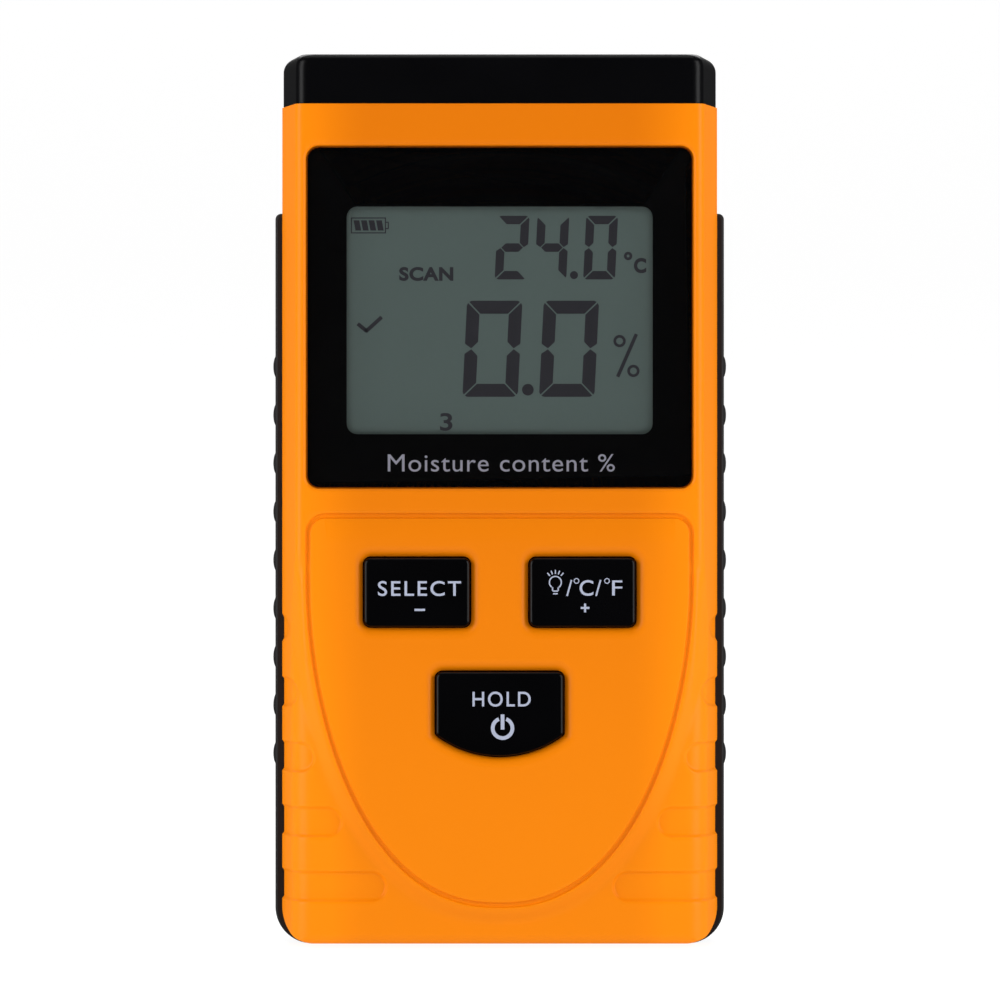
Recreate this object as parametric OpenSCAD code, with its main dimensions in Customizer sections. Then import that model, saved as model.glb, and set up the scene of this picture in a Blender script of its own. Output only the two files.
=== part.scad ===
// Hand-held pinless moisture meter, standing on its base with its face towards -Y.
// Origin: middle of the base. Millimetres.

/* [Overall] */
// Height from the base to the top of the end cap
meter_h = 140; // [132:1:170]
// Width of the two shells at their parting line, without the grips
body_w = 68.8; // [68:0.2:84]

/* [Shells] */
// Wall of the shells
wall = 2; // [1.6:0.1:2.4]
// Thickness of the front shell's face
face_t = 2.8; // [2.6:0.1:3.6]
// Depth of the front shell, from its face to the parting line
front_depth = 10.6; // [9.6:0.1:12]
// How far each side of the front shell leans in towards the face
side_slope = 2.6; // [1:0.1:2.8]
// Height of the front shell's lower edge above the base
front_lift = 0.6; // [0:0.1:1.5]
// Radius of the front shell's lower corners
base_corner_r = 5.2; // [3:0.1:6]
// Radius of the ridge round the face
ridge_r = 1.5; // [0.5:0.1:2]
// Radius of the back shell's rear edges
back_edge_r = 3; // [1:0.1:3.5]
// Height of the locating lip that enters the front shell
lip_h = 1.4; // [0.8:0.1:2]

/* [End cap] */
// Height of the end cap
cap_h = 7.8; // [6:0.1:12]
// How far the end cap's sides stand in from the shells
cap_inset = 0.2; // [0:0.05:0.5]
// How far the end cap stands proud of the face
cap_proud = 0.15; // [0:0.05:0.35]
// Radius of the end cap's upper corners
cap_corner_r = 2.3; // [1:0.1:5]
// Length of the spigot that enters the shells
spigot_l = 4; // [2:0.1:4.2]

/* [Grips] */
// How far the grips stand out from the shells
grip_proud = 1.1; // [0.4:0.1:2]
// Depth of the pocket that each grip lies in
grip_pocket = 1; // [0.6:0.1:1.2]
// Front-to-back width of a grip
grip_depth = 13; // [8:0.5:14]
// Distance from the top of the meter to the top of the grips
grip_drop = 24.5; // [15:0.5:40]
// Radius of the grips round the lower corners
grip_corner_r = 5.8; // [4.5:0.1:7]
// Number of ribs on each grip
rib_count = 9; // [4:1:10]
// Distance between two ribs
rib_pitch = 7.67; // [6:0.01:8]
// Height of a rib
rib_h = 4.2; // [2:0.1:5]
// How far a rib stands out from its grip
rib_proud = 0.5; // [0.2:0.1:1]
// Height of the lowest rib's centre
rib_z = 30; // [10:0.5:35]

/* [Display] */
// Width of the lens
lens_w = 60.4; // [54:0.1:61]
// Height of the lens
lens_h = 53.4; // [50:0.1:60]
// Thickness of the lens
lens_t = 1.5; // [1:0.1:2]
// Corner radius of the lens
lens_r = 1.9; // [0.5:0.1:4]
// How far the lens lies below the face
lens_recess = 0.9; // [0.2:0.1:1.2]
// Distance from the lens to the end cap's seam
lens_to_cap = 6.7; // [6:0.1:12]
// Width of the window in the printed border
window_w = 48; // [40:0.1:49]
// Height of the window
window_h = 35.7; // [30:0.1:37]
// Distance from the top of the lens to the window
window_drop = 9.3; // [8:0.1:12]
// Thickness of each glass of the LCD
glass_t = 1.1; // [0.7:0.1:1.5]
// Thickness of the backlight panel
backlight_t = 3; // [2:0.1:4]

/* [Keypad] */
// Distance from the lens to the keypad's groove
keypad_gap = 4.4; // [3:0.1:8]
// Distance from the groove to the ridge at the side of the face
keypad_side = 1.8; // [1.5:0.1:3]
// Height of the groove's lowest point
keypad_z = 6.8; // [4:0.1:10]
// Length of the groove's straight sides
keypad_straight = 10.4; // [4:0.1:14]
// Width of the groove
groove_w = 0.63; // [0.3:0.01:1]
// Depth of the groove
groove_d = 0.5; // [0.2:0.05:0.8]
// Distance from the groove to the edge of the raised keypad
plateau_edge = 2.05; // [1:0.05:2.5]
// How far the flanks drop below the keypad
flank_drop = 1.2; // [0.4:0.1:1.3]
// Number of finger recesses on each side
finger_count = 5; // [1:1:5]
// Height of a finger recess
finger_h = 4.65; // [2:0.05:6]
// Depth of a finger recess below the flank
finger_d = 0.5; // [0.2:0.05:0.6]

/* [Keys] */
// Width of the select and light keys' wells
key_w = 17; // [14:0.1:20.4]
// Height of the select and light keys' wells
key_h = 11.2; // [9:0.1:13.4]
// Distance from the middle of the meter to the centre of the select or light key
key_x = 12.95; // [12:0.05:14]
// Distance from the keypad's top to the centre of the upper keys
key_drop = 11.95; // [9:0.05:14]
// Width of the hold key's well
hold_w = 20.4; // [16:0.1:24]
// Distance from the keypad's top to the top of the hold key's well
hold_drop = 24.2; // [22:0.1:28]
// Height of the hold key's straight sides
hold_side = 10.1; // [8:0.1:12]
// How far the hold key's lower edge bows down
hold_bow = 3.5; // [1:0.1:5]
// Corner radius of the keys
key_r = 1.25; // [0.5:0.05:2]
// Gap round each key
key_gap = 0.22; // [0.1:0.01:0.4]
// How far the keys stand proud of the face
key_proud = 0.4; // [0.2:0.05:1.2]
// Travel of a key
key_travel = 0.5; // [0.2:0.05:0.6]

/* [Circuit board] */
// Thickness of the circuit board
pcb_t = 1.6; // [1:0.1:1.6]
// Gap from the board's edges to the side walls at the face
pcb_side_gap = 1.4; // [1:0.1:4]
// Height of the board's lower edge
pcb_z = 21; // [14:0.5:22]
// Height of the tallest part on the back of the board
parts_h = 1.5; // [1.2:0.1:3]
// Height of a tact switch's housing
switch_h = 3.5; // [3:0.1:3.7]

/* [Batteries] */
// Diameter of a cell
cell_d = 10.5; // [8:0.1:14.5]
// Length of a cell with its button
cell_l = 44.5; // [30:0.1:50]
// Number of cells
cell_count = 3; // [1:1:3]
// Gap between two cells
cell_gap = 0.8; // [0.4:0.1:1]
// Length of a contact spring with the cell in place
spring_l = 4.8; // [3:0.1:7]
// Thickness of the bay's walls
bay_wall = 1.2; // [0.8:0.1:1.6]

/* [Battery door] */
// Thickness of the door
door_t = 2; // [1.8:0.1:3]
// How far the door's tongues reach past its edges
tongue_w = 1.2; // [0.8:0.1:1.6]
// Thickness of the door's tongues
tongue_t = 0.8; // [0.6:0.1:1]
// Gap round the door
door_gap = 0.15; // [0.1:0.01:0.3]

/* [Sensor] */
// Width of the sensor cover
pad_w = 46; // [30:0.5:47]
// Height of the sensor cover
pad_h = 44; // [30:0.5:46]
// How far the sensor cover stands out from the back
pad_proud = 2; // [1:0.1:4]
// Depth of the sensor cover's recess
pad_recess = 0.6; // [0.3:0.1:1]

/* [Screws] */
// Shank diameter of the case screws
screw_d = 2.5; // [2:0.1:3]
// Head diameter of the case screws
screw_head_d = 4.8; // [4:0.1:5]
// Distance from the side of the body to the case screws
screw_side = 6.8; // [6.2:0.1:7]
// Shank diameter of the board screws
pcb_screw_d = 2; // [1.6:0.1:2.2]

/* [Hidden] */
$fn = 48;
past = 1; // how far a cut runs past the face it opens

orange = [0.94, 0.51, 0.03];
black = [0.06, 0.06, 0.07];
soft_black = [0.2, 0.17, 0.18];
steel = [0.75, 0.76, 0.78];
board_green = [0.08, 0.36, 0.2];
copper = [0.8, 0.5, 0.25];

// Depth stack, counted back from the face
border_t = 0.1;
ledge_t = 1.3;
reflector_t = 0.2;
parts_gap = 1.1;
cell_play = 0.25;
glass_depth = lens_recess + lens_t + border_t + ledge_t;
pcb_depth = glass_depth + 2 * glass_t + reflector_t + backlight_t;
bay_depth = pcb_depth + pcb_t + parts_h + parts_gap + bay_wall;
body_depth = bay_depth + cell_d + 2 * cell_play + door_t;
y_face = key_proud - (key_proud + body_depth + pad_proud) / 2;
y_key = y_face - key_proud;
y_part = y_face + front_depth;
y_inner = y_face + face_t;
y_border = y_face + lens_recess + lens_t;
y_glass = y_face + glass_depth;
y_reflector = y_glass + 2 * glass_t;
y_pcb = y_face + pcb_depth;
y_pcb_back = y_pcb + pcb_t;
y_bay = y_face + bay_depth;
y_back = y_face + body_depth;
y_door = y_back - door_t;
y_cell = y_bay + cell_play + cell_d / 2;

// Heights, counted down from the top
seam_z = meter_h - cap_h;
lens_top = seam_z - lens_to_cap;
lens_z = lens_top - lens_h;
window_top = lens_top - window_drop;
window_z = window_top - window_h;
keypad_top = lens_z - keypad_gap;
shoulder_z = keypad_top - keypad_straight;
key_z = keypad_top - key_drop;
hold_top = keypad_top - hold_drop;

// Half-widths
side = body_w / 2;
face_side = side - side_slope;
keypad_half = face_side - keypad_side;
pocket_side = side - grip_pocket;
grip_side = side + grip_proud;
corner_x = grip_side - grip_corner_r;
pocket_corner_r = grip_corner_r - grip_proud - grip_pocket;

// LCD: a frame holds two glasses, and the front one reaches down to its contacts
lens_gap = 0.1;
window_relief = 0.5;
window_r = 1.65;
glass_margin = 2.2;
contact_h = 4.6;
holder_t = 1.1;
holder_r = 0.8;
zebra_t = 2.6;
zebra_up = 0.6;
zebra_end = 1;
glass_half = window_w / 2 + glass_margin;
glass_top = window_top + glass_margin;
rear_glass_z = window_z - 1;
glass_z = rear_glass_z - contact_h;

// Keys and their switches
key_flange = 1;
flange_t = 0.9;
flange_gap = 0.1;
key_skirt = 1.1;
key_crown = 1.5;
key_bevel = 0.7;
key_overlap = 0.05;
stem_root = 0.2;
stem_r = 1.7;
switch_w = 6;
plunger_r = 1.5;
plunger_up = 0.8;
plunger_in = 1.2;
plunger_gap = 0.2;
y_flange = y_inner + flange_gap;
y_switch = y_pcb - switch_h;
hold_half = hold_w / 2;
hold_r = (hold_half ^ 2 + hold_bow ^ 2) / (2 * hold_bow);
hold_z = hold_top - hold_side - hold_bow;
hold_arc_z = hold_z + hold_r;
hold_mid_z = (hold_top + hold_z) / 2;
key_places = [[-key_x, key_z], [key_x, key_z], [0, hold_mid_z]];

// Back shell and battery bay
back_wall_side = wall - 0.2;
cavity_inset = grip_pocket + back_wall_side;
base_t = 3.2;
lip_gap = 0.15;
lip_t = 0.95;
lip_drop = 0.2;
cap_ridge_r = 1.8;
cap_inner_step = 1.3;
spigot_t = 1.6;
spigot_root = 0.5;
plate_t = 0.4;
cell_pitch = cell_d + cell_gap;
bay_side_gap = 0.45;
bay_half = (cell_count - 1) / 2 * cell_pitch + cell_d / 2 + bay_side_gap;
bay_z = 6;
bay_l = 2 * plate_t + spring_l + cell_l;
bay_top = bay_z + bay_l;
door_z = 0.4;
door_lap = 6.3;
door_top = bay_top + door_lap;
door_half = bay_half + 2;
tongue_half = door_half + tongue_w;
rail_w = 1.3;
rail_half = tongue_half + door_gap + rail_w;
rail_t = 1.2;

// Case screws and their posts
post_r = 2.4;
pilot_r = screw_d / 2 - 0.1;
screw_hole_r = screw_d / 2 + 0.15;
head_hole_r = screw_head_d / 2 + 0.3;
head_post_r = head_hole_r + 1.2;
screw_bite = 6;
y_seat = y_part + 11;
screw_head_h = 1.8;
screw_x = side - screw_side;
screw_low = 10;
screw_high = seam_z - spigot_l - head_post_r - 0.3;
screw_places = [[-screw_x, screw_low], [screw_x, screw_low],
                [-screw_x, screw_high], [screw_x, screw_high]];

// Circuit board and its screws
pcb_half = face_side - wall - pcb_side_gap;
pcb_top = seam_z - spigot_l - 1.2;
pcb_post_r = 2.1;
pcb_pilot_floor = 0.8;
screw_tip_gap = 0.4;
pcb_head_r = 1.9;
pcb_head_h = 1.3;
board_r = 1;
pcb_pilot_r = pcb_screw_d / 2 - 0.1;
pcb_hole_r = pcb_screw_d / 2 + 0.2;
pcb_notch_r = post_r + 0.6;
pcb_screw_high = lens_z - 5.7;
pcb_screw_places = [[-pcb_half + 6.4, pcb_z + 4], [pcb_half - 6.4, pcb_z + 4],
                    [-pcb_half + 3.1, pcb_screw_high], [pcb_half - 3.1, pcb_screw_high]];

// Sensor pad, board and electrodes
pad_top = seam_z - 8.2;
pad_z = pad_top - pad_h;
pad_r = 4;
sensor_margin = 2;
sensor_half = pad_w / 2 - sensor_margin;
electrode_margin = 1.5;
sensor_t = 1;
electrode_t = 0.15;
y_wall = y_back - wall;
y_sensor = y_wall - electrode_t - sensor_t;

// Rear label
label_half = 18;
label_z = door_top + 3.2;
label_top = pad_z - 3.2;
label_t = 0.2;
label_r = 1.5;

function unit(v) = v / norm(v);

// Corner b of the path a, b, c, rounded to radius r
function corner(a, b, c, r) =
    r == 0 ? [b] :
    let (u = unit(a - b), v = unit(c - b), half = acos(u * v) / 2,
         o = b + unit(u + v) * r / sin(half),
         p = b + u * r / tan(half) - o, q = b + v * r / tan(half) - o,
         from = atan2(p[1], p[0]),
         turn = (atan2(q[1], q[0]) - from + 540) % 360 - 180, n = 5)
    [for (i = [0:n]) o + r * [cos(from + turn * i / n), sin(from + turn * i / n)]];

// A closed path with each corner rounded to its own radius
function rounded(path, radii) =
    let (n = len(path))
    [for (i = [0:n - 1]) each corner(path[(i + n - 1) % n], path[i], path[(i + 1) % n], radii[i])];

function rect(x0, x1, z0, z1, low_r = 0, high_r = 0) =
    rounded([[x0, z0], [x1, z0], [x1, z1], [x0, z1]], [low_r, low_r, high_r, high_r]);

// Half-width of the shells at depth y: the front shell's sides lean in towards the face
function side_at(y) = side - side_slope * max(0, (y_part - y) / front_depth);

// Plan of the shells between two depths, pulled in by inset, with its edges rounded
function plan(inset, y0, y1, front_r, back_r) =
    let (a = side_at(y0) - inset, b = side - inset, c = side_at(y1) - inset,
         middle = y1 > y_part && y0 < y_part,
         path = concat([[-a, y0], [a, y0]], middle ? [[b, y_part]] : [],
                       [[c, y1], [-c, y1]], middle ? [[-b, y_part]] : []),
         radii = concat([front_r, front_r], middle ? [0] : [], [back_r, back_r], middle ? [0] : []))
    rounded(path, radii);

// Keypad groove: straight sides that run down into a superellipse, moved outwards by out
keypad_drop = shoulder_z - keypad_z;
across_power = 2.3;
down_power = 1.88;
keypad_corner_r = 2.7;
function keypad_curve(out) =
    [for (t = [90:-3:0])
        let (x = keypad_half * cos(t) ^ (2 / across_power), d = keypad_drop * sin(t) ^ (2 / down_power),
             n = unit([(x / keypad_half) ^ (across_power - 1) * across_power / keypad_half,
                       -(d / keypad_drop) ^ (down_power - 1) * down_power / keypad_drop]))
        [x, shoulder_z - d] + out * n];
function keypad_outline(out, top) =
    let (curve = keypad_curve(out), n = len(curve), half = keypad_half + out, r = keypad_corner_r + out,
         turn = corner([half, shoulder_z], [half, top], [0, top], r))
    concat(curve, turn, [for (i = [len(turn) - 1:-1:0]) [-turn[i][0], turn[i][1]]],
           [for (i = [n - 1:-1:1]) [-curve[i][0], curve[i][1]]]);

// Hold key: a rectangle whose lower edge is an arc, moved outwards by out
function hold_outline(out) =
    let (half = hold_half + out, r = hold_r + out, a = asin(half / r), n = 12,
         low = [half, hold_arc_z - r * cos(a)], top = hold_top + out, e = key_r + out,
         bow = [for (i = [1:n - 1]) let (b = a * (2 * i / n - 1)) [r * sin(b), hold_arc_z - r * cos(b)]])
    concat(bow, corner(bow[n - 2], low, [half, top], e / 2), corner(low, [half, top], [0, top], e),
           corner([0, top], [-half, top], [-half, 0], e),
           corner([-half, top], [-low[0], low[1]], bow[0], e / 2));
function key_outline(x, out) =
    rect(x - key_w / 2 - out, x + key_w / 2 + out, key_z - key_h / 2 - out, key_z + key_h / 2 + out,
         key_r + out, key_r + out);

// Extrudes an outline seen from the front, from depth y0 back to y1
module slab(y0, y1) translate([0, y1, 0]) rotate([90, 0, 0]) linear_extrude(y1 - y0) children();
// Extrudes an outline seen from above, from height z0 up to z1
module column(z0, z1) translate([0, 0, z0]) linear_extrude(z1 - z0) children();
module plate(x0, x1, y0, y1, z0, z1, r = 0) slab(y0, y1) polygon(rect(x0, x1, z0, z1, r, r));
module post(place, r, y0, y1)
    translate([place[0], y1, place[1]]) rotate([90, 0, 0]) cylinder(r = r, h = y1 - y0);
module both_sides() { children(); mirror([1, 0, 0]) children(); }

// Sweeps a round wire along a path; ref is a direction that the path never takes
module wire(path, r, ref, sides = 8) {
    n = len(path);
    points = [for (i = [0:n - 1])
        let (t = unit(path[min(i + 1, n - 1)] - path[max(i - 1, 0)]),
             u = unit(cross(t, ref)), v = cross(u, t))
        for (k = [0:sides - 1]) path[i] + r * (u * cos(360 * k / sides) + v * sin(360 * k / sides))];
    walls = [for (i = [0:n - 2], k = [0:sides - 1])
        let (a = i * sides + k, b = i * sides + (k + 1) % sides)
        each [[a, b, b + sides], [a, b + sides, a + sides]]];
    ends = [[for (k = [sides - 1:-1:0]) k], [for (k = [0:sides - 1]) (n - 1) * sides + k]];
    polyhedron(points, concat(walls, ends));
}

// A smooth route between two ends, with two guide points
function route(a, b, c, d, n = 14) =
    [for (i = [0:n]) let (t = i / n, s = 1 - t)
        s ^ 3 * a + 3 * t * s ^ 2 * b + 3 * t ^ 2 * s * c + t ^ 3 * d];

module front_block(inset, y0, z0, r)
    intersection() {
        column(z0, seam_z) polygon(plan(inset, y0, y_part, inset == 0 ? ridge_r : 0, 0));
        slab(y0, y_part) polygon(rect(-side + inset, side - inset, z0, seam_z, r, 0));
        translate([-side, 0, 0]) rotate([90, 0, 90]) linear_extrude(2 * side)
            polygon(rounded([[y0, z0], [y_part, z0], [y_part, seam_z], [y0, seam_z]],
                            [inset == 0 ? ridge_r : 0, 0, 0, 0]));
    }

// Finger recess: its inner end follows the keypad's curve
finger_land = 3.35;
finger_low = 9.65;
finger_pitch = 10.1;
function keypad_side_at(z) =
    keypad_half * (1 - max(0, (shoulder_z - z) / keypad_drop) ^ down_power) ^ (1 / across_power);
function finger_end(z) =
    let (step = 0.1, slope = (keypad_side_at(z + step) - keypad_side_at(z - step)) / (2 * step))
    keypad_side_at(z) + finger_land * sqrt(1 + slope ^ 2);
module finger_recess(z) {
    r = finger_h / 2;
    x = finger_end(z) + r;
    slab(y_face - past, y_face + flank_drop + finger_d) {
        translate([x, z]) circle(r);
        translate([x, z - r]) square([side, finger_h]);
    }
}

module front_shell() color(orange) difference() {
    union() {
        difference() {
            front_block(0, y_face, front_lift, base_corner_r);
            difference() {
                front_block(wall, y_inner, front_lift + wall, base_corner_r - wall);
                // the ledge that carries the lens in front and the LCD behind
                plate(-side, side, y_inner - past, y_glass, lens_z - wall, lens_top + wall);
            }
            column(seam_z - wall, seam_z + past) polygon(plan(wall, y_inner, y_part + past, 0, 0));
        }
        for (p = screw_places) post(p, post_r, y_inner, y_part);
        for (p = pcb_screw_places) post(p, pcb_post_r, y_inner, y_pcb);
    }
    // lens pocket and window
    plate(-lens_w / 2, lens_w / 2, y_face - past, y_border + border_t, lens_z, lens_top, lens_r);
    plate(-window_w / 2 - window_relief, window_w / 2 + window_relief, y_face, y_glass + past,
          window_z - window_relief, window_top + window_relief, window_r);
    // key wells
    slab(y_face - past, y_inner + past) { polygon(key_outline(-key_x, 0)); polygon(key_outline(key_x, 0)); }
    slab(y_face - past, y_inner + past) polygon(hold_outline(0));
    // groove round the keypad, and the flanks outside it
    slab(y_face - past, y_face + groove_d) difference() {
        polygon(keypad_outline(groove_w / 2, keypad_top + groove_w / 2));
        polygon(keypad_outline(-groove_w / 2, keypad_top - groove_w / 2));
    }
    slab(y_face - past, y_face + flank_drop) difference() {
        translate([-side, -past]) square([2 * side, shoulder_z + past]);
        polygon(keypad_outline(plateau_edge, shoulder_z + 3 * keypad_corner_r));
    }
    both_sides() for (i = [0:finger_count - 1]) finger_recess(finger_low + i * finger_pitch);
    for (p = screw_places) post(p, pilot_r, y_part - screw_bite - past, y_part + past);
    for (p = pcb_screw_places) post(p, pcb_pilot_r, y_inner + pcb_pilot_floor, y_pcb + past);
}

// Everything outside this line on one side belongs to the grip
module grip_space(out) polygon(concat(
    [[pocket_side, meter_h - grip_drop], [side + out, meter_h - grip_drop],
     [side + out, -out], [corner_x, -out]],
    [for (a = [-90:18:0]) [corner_x, grip_corner_r] + pocket_corner_r * [cos(a), sin(a)]]));

module grip() {
    top = meter_h - grip_drop;
    y_end = y_part + grip_depth;
    slab(y_part, y_end) intersection() {
        grip_space(2 * grip_proud);
        polygon(concat([[0, 0]], corner([0, 0], [grip_side, 0], [grip_side, top], grip_corner_r),
                       corner([grip_side, 0], [grip_side, top], [0, top], 1), [[0, top]]));
    }
    for (i = [0:rib_count - 1])
        plate(grip_side - rib_proud, grip_side + rib_proud, y_part + 1, y_end - 1,
              rib_z + i * rib_pitch - rib_h / 2, rib_z + i * rib_pitch + rib_h / 2, 0.4);
}
module right_grip() color(soft_black) grip();
module left_grip() color(soft_black) mirror([1, 0, 0]) grip();

module back_shell() color(black) difference() {
    union() {
        difference() {
            intersection() {
                column(0, seam_z) polygon(plan(0, y_part, y_back, 0, back_edge_r));
                slab(y_part, y_back) polygon(rect(-side, side, 0, seam_z, base_corner_r, 0));
            }
            both_sides() slab(y_part - past, y_part + grip_depth) grip_space(past);
            slab(y_part - past, y_wall) polygon(rect(-side + cavity_inset, side - cavity_inset,
                                                     base_t, seam_z + past, 2.5, 0));
        }
        // locating lip, stopped below the end cap's spigot
        difference() {
            locating_lip(wall + lip_gap, 0);
            locating_lip(wall + lip_gap + lip_t, past);
        }
        // battery bay and the rails beside it
        plate(-bay_half - bay_wall, bay_half + bay_wall, y_bay - bay_wall, y_door,
              bay_z - bay_wall, bay_top + bay_wall);
        plate(-rail_half, rail_half, y_door - door_gap - rail_t, y_door, 0, door_top + 1.5);
        for (p = screw_places) {
            post(p, post_r, y_part, y_seat);
            post(p, head_post_r, y_seat - 1.5, y_wall);
        }
    }
    plate(-bay_half, bay_half, y_bay, y_back, bay_z, bay_top);
    plate(-door_half - door_gap, door_half + door_gap, y_door - door_gap, y_back + past,
          -past, door_top + door_gap);
    plate(-tongue_half - door_gap, tongue_half + door_gap, y_door - door_gap, y_door + tongue_t + door_gap,
          -past, door_top + door_gap);
    for (p = screw_places) {
        post(p, screw_hole_r, y_part - past, y_seat + past);
        post(p, head_hole_r, y_seat, y_back + past);
    }
    plate(-pad_w / 2, pad_w / 2, y_back - pad_recess, y_back + past, pad_z, pad_top, pad_r);
    plate(-label_half, label_half, y_back - label_t, y_back + past, label_z, label_top, label_r);
    // openings for the contacts' tabs
    for (e = row_ends) plate(e[0] - tab_space, e[0] + tab_space, y_bay, y_tab + 1.2,
                             e[1] > 0 ? bay_top - past : bay_z - bay_wall - past,
                             e[1] > 0 ? bay_top + bay_wall + past : bay_z + past);
}
module locating_lip(inset, more) {
    top = seam_z - spigot_l - lip_drop + more;
    y0 = y_part - lip_h - more;
    y1 = y_part + past / 2 + more;
    intersection() {
        column(0, top) polygon(plan(inset, y0, y1, 0, 0));
        slab(y0, y1)
            polygon(rect(-side + inset, side - inset, front_lift + inset, top, base_corner_r - inset, 0));
    }
}

function spigot_plan(inset) =
    plan(cavity_inset + lip_gap + inset, y_inner + lip_gap + inset, y_wall - lip_gap - inset, 0, 1);
module end_cap() color(black) {
    difference() {
        intersection() {
            column(seam_z, meter_h)
                polygon(plan(cap_inset, y_face - cap_proud, y_back, cap_ridge_r, back_edge_r));
            slab(y_face - cap_proud, y_back)
                polygon(rect(-side + cap_inset, side - cap_inset, seam_z, meter_h, 0, cap_corner_r));
        }
        column(seam_z - past, meter_h - wall)
            polygon(plan(wall + cap_inset + cap_inner_step, y_face + wall, y_back - wall, 0, back_edge_r / 2));
    }
    difference() {
        column(seam_z - spigot_l, seam_z + spigot_root) polygon(spigot_plan(0));
        column(seam_z - spigot_l - past, seam_z + past) polygon(spigot_plan(spigot_t));
    }
}

module lens_plate(y0, y1)
    plate(-lens_w / 2 + lens_gap, lens_w / 2 - lens_gap, y0, y1, lens_z + lens_gap, lens_top - lens_gap,
          lens_r - lens_gap);
module display_lens() color([0.5, 0.55, 0.55, 0.4]) lens_plate(y_border - lens_t, y_border);
module lens_border() color(black) difference() {
    lens_plate(y_border, y_border + border_t);
    plate(-window_w / 2, window_w / 2, y_border - past, y_border + past, window_z, window_top, window_r);
}
module lcd_front_glass() color([0.34, 0.39, 0.37])
    plate(-glass_half, glass_half, y_glass, y_glass + glass_t, glass_z, glass_top);
module lcd_rear_glass() color([0.3, 0.35, 0.33])
    plate(-glass_half, glass_half, y_glass + glass_t, y_reflector, rear_glass_z, glass_top);
module lcd_reflector() color([0.8, 0.82, 0.8])
    plate(-glass_half, glass_half, y_reflector, y_reflector + reflector_t, rear_glass_z, glass_top);
module backlight_panel() color([0.92, 0.92, 0.88])
    plate(-glass_half, glass_half, y_pcb - backlight_t, y_pcb, rear_glass_z, glass_top);
module lcd_holder() color([0.85, 0.85, 0.82]) difference() {
    plate(-glass_half - holder_t, glass_half + holder_t, y_glass, y_pcb,
          glass_z - holder_t, glass_top + holder_t, holder_r);
    plate(-glass_half, glass_half, y_glass - past, y_pcb + past, glass_z, glass_top);
}
module zebra_connector() color([0.85, 0.5, 0.55])
    plate(-glass_half + zebra_end, glass_half - zebra_end, y_glass + glass_t, y_pcb,
          glass_z + zebra_up, glass_z + zebra_up + zebra_t);

module circuit_board() color(board_green) difference() {
    plate(-pcb_half, pcb_half, y_pcb, y_pcb_back, pcb_z, pcb_top, board_r);
    for (p = pcb_screw_places) post(p, pcb_hole_r, y_pcb - past, y_pcb_back + past);
    for (p = screw_places) post(p, pcb_notch_r, y_pcb - past, y_pcb_back + past);
}
// Round screw head with a cross slot, its top at depth y1
module screw_head(place, r, y0, y1, slot_l, slot_w, slot_d) difference() {
    post(place, r, y0, y1);
    for (s = [[slot_l, slot_w], [slot_w, slot_l]])
        plate(place[0] - s[0] / 2, place[0] + s[0] / 2, y1 - slot_d, y1 + past,
              place[1] - s[1] / 2, place[1] + s[1] / 2);
}
module pcb_screws() color(steel) for (p = pcb_screw_places) {
    post(p, pcb_screw_d / 2, y_inner + pcb_pilot_floor + screw_tip_gap, y_pcb_back);
    screw_head(p, pcb_head_r, y_pcb_back, y_pcb_back + pcb_head_h, 2.8, 0.5, 0.6);
}

// A flat chip with legs down two sides, on the back of the board
chip_lift = 0.1;
chip_t = 1.2;
leg = [0.9, 0.7, 0.3];
leg_root = 0.1;
module chip(place, w, h, legs) {
    y0 = y_pcb_back + chip_lift;
    plate(place[0] - w / 2, place[0] + w / 2, y0, y0 + chip_t, place[1] - h / 2, place[1] + h / 2);
    for (i = [0:legs - 1], s = [-1, 1])
        translate([place[0] + s * (w / 2 + leg[0] / 2 - leg_root) - leg[0] / 2, y_pcb_back,
                   place[1] - h / 2 + h * (i + 0.5) / legs - leg[2] / 2]) cube(leg);
}
chips_z = (pcb_screw_high + pcb_top) / 2;
mcu_place = [-8, chips_z - 6];
sensor_chip_place = [9, chips_z + 10];
crystal_place = [5.6, chips_z - 8];
crystal_w = 3.2;
crystal_l = 8;
thermistor_place = [-20, pcb_top - 12];
bead_r = 0.75;
capacitor_place = [12, chips_z - 12];
capacitor = [1.25, 0.8, 2];
capacitor_pitch = [3, 5];
module mcu_chip() color([0.1, 0.1, 0.11]) chip(mcu_place, 10, 14, 14);
module sensor_chip() color([0.1, 0.1, 0.11]) chip(sensor_chip_place, 4, 5, 4);
module crystal() color(steel)
    plate(crystal_place[0] - crystal_w / 2, crystal_place[0] + crystal_w / 2, y_pcb_back, y_pcb_back + parts_h,
          crystal_place[1] - crystal_l / 2, crystal_place[1] + crystal_l / 2, 1.2);
module thermistor() color([0.15, 0.14, 0.1]) translate([thermistor_place[0], y_pcb_back, thermistor_place[1]]) {
    translate([0, bead_r, 0]) sphere(bead_r);
    for (x = [-0.4, 0.25]) translate([x, 0, -4]) cube([0.15, 0.5, 4]);
}
module capacitors() color([0.72, 0.6, 0.42]) for (i = [0:2], j = [0:1])
    translate([capacitor_place[0] + i * capacitor_pitch[0], y_pcb_back,
               capacitor_place[1] + j * capacitor_pitch[1]]) cube(capacitor);

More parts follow.
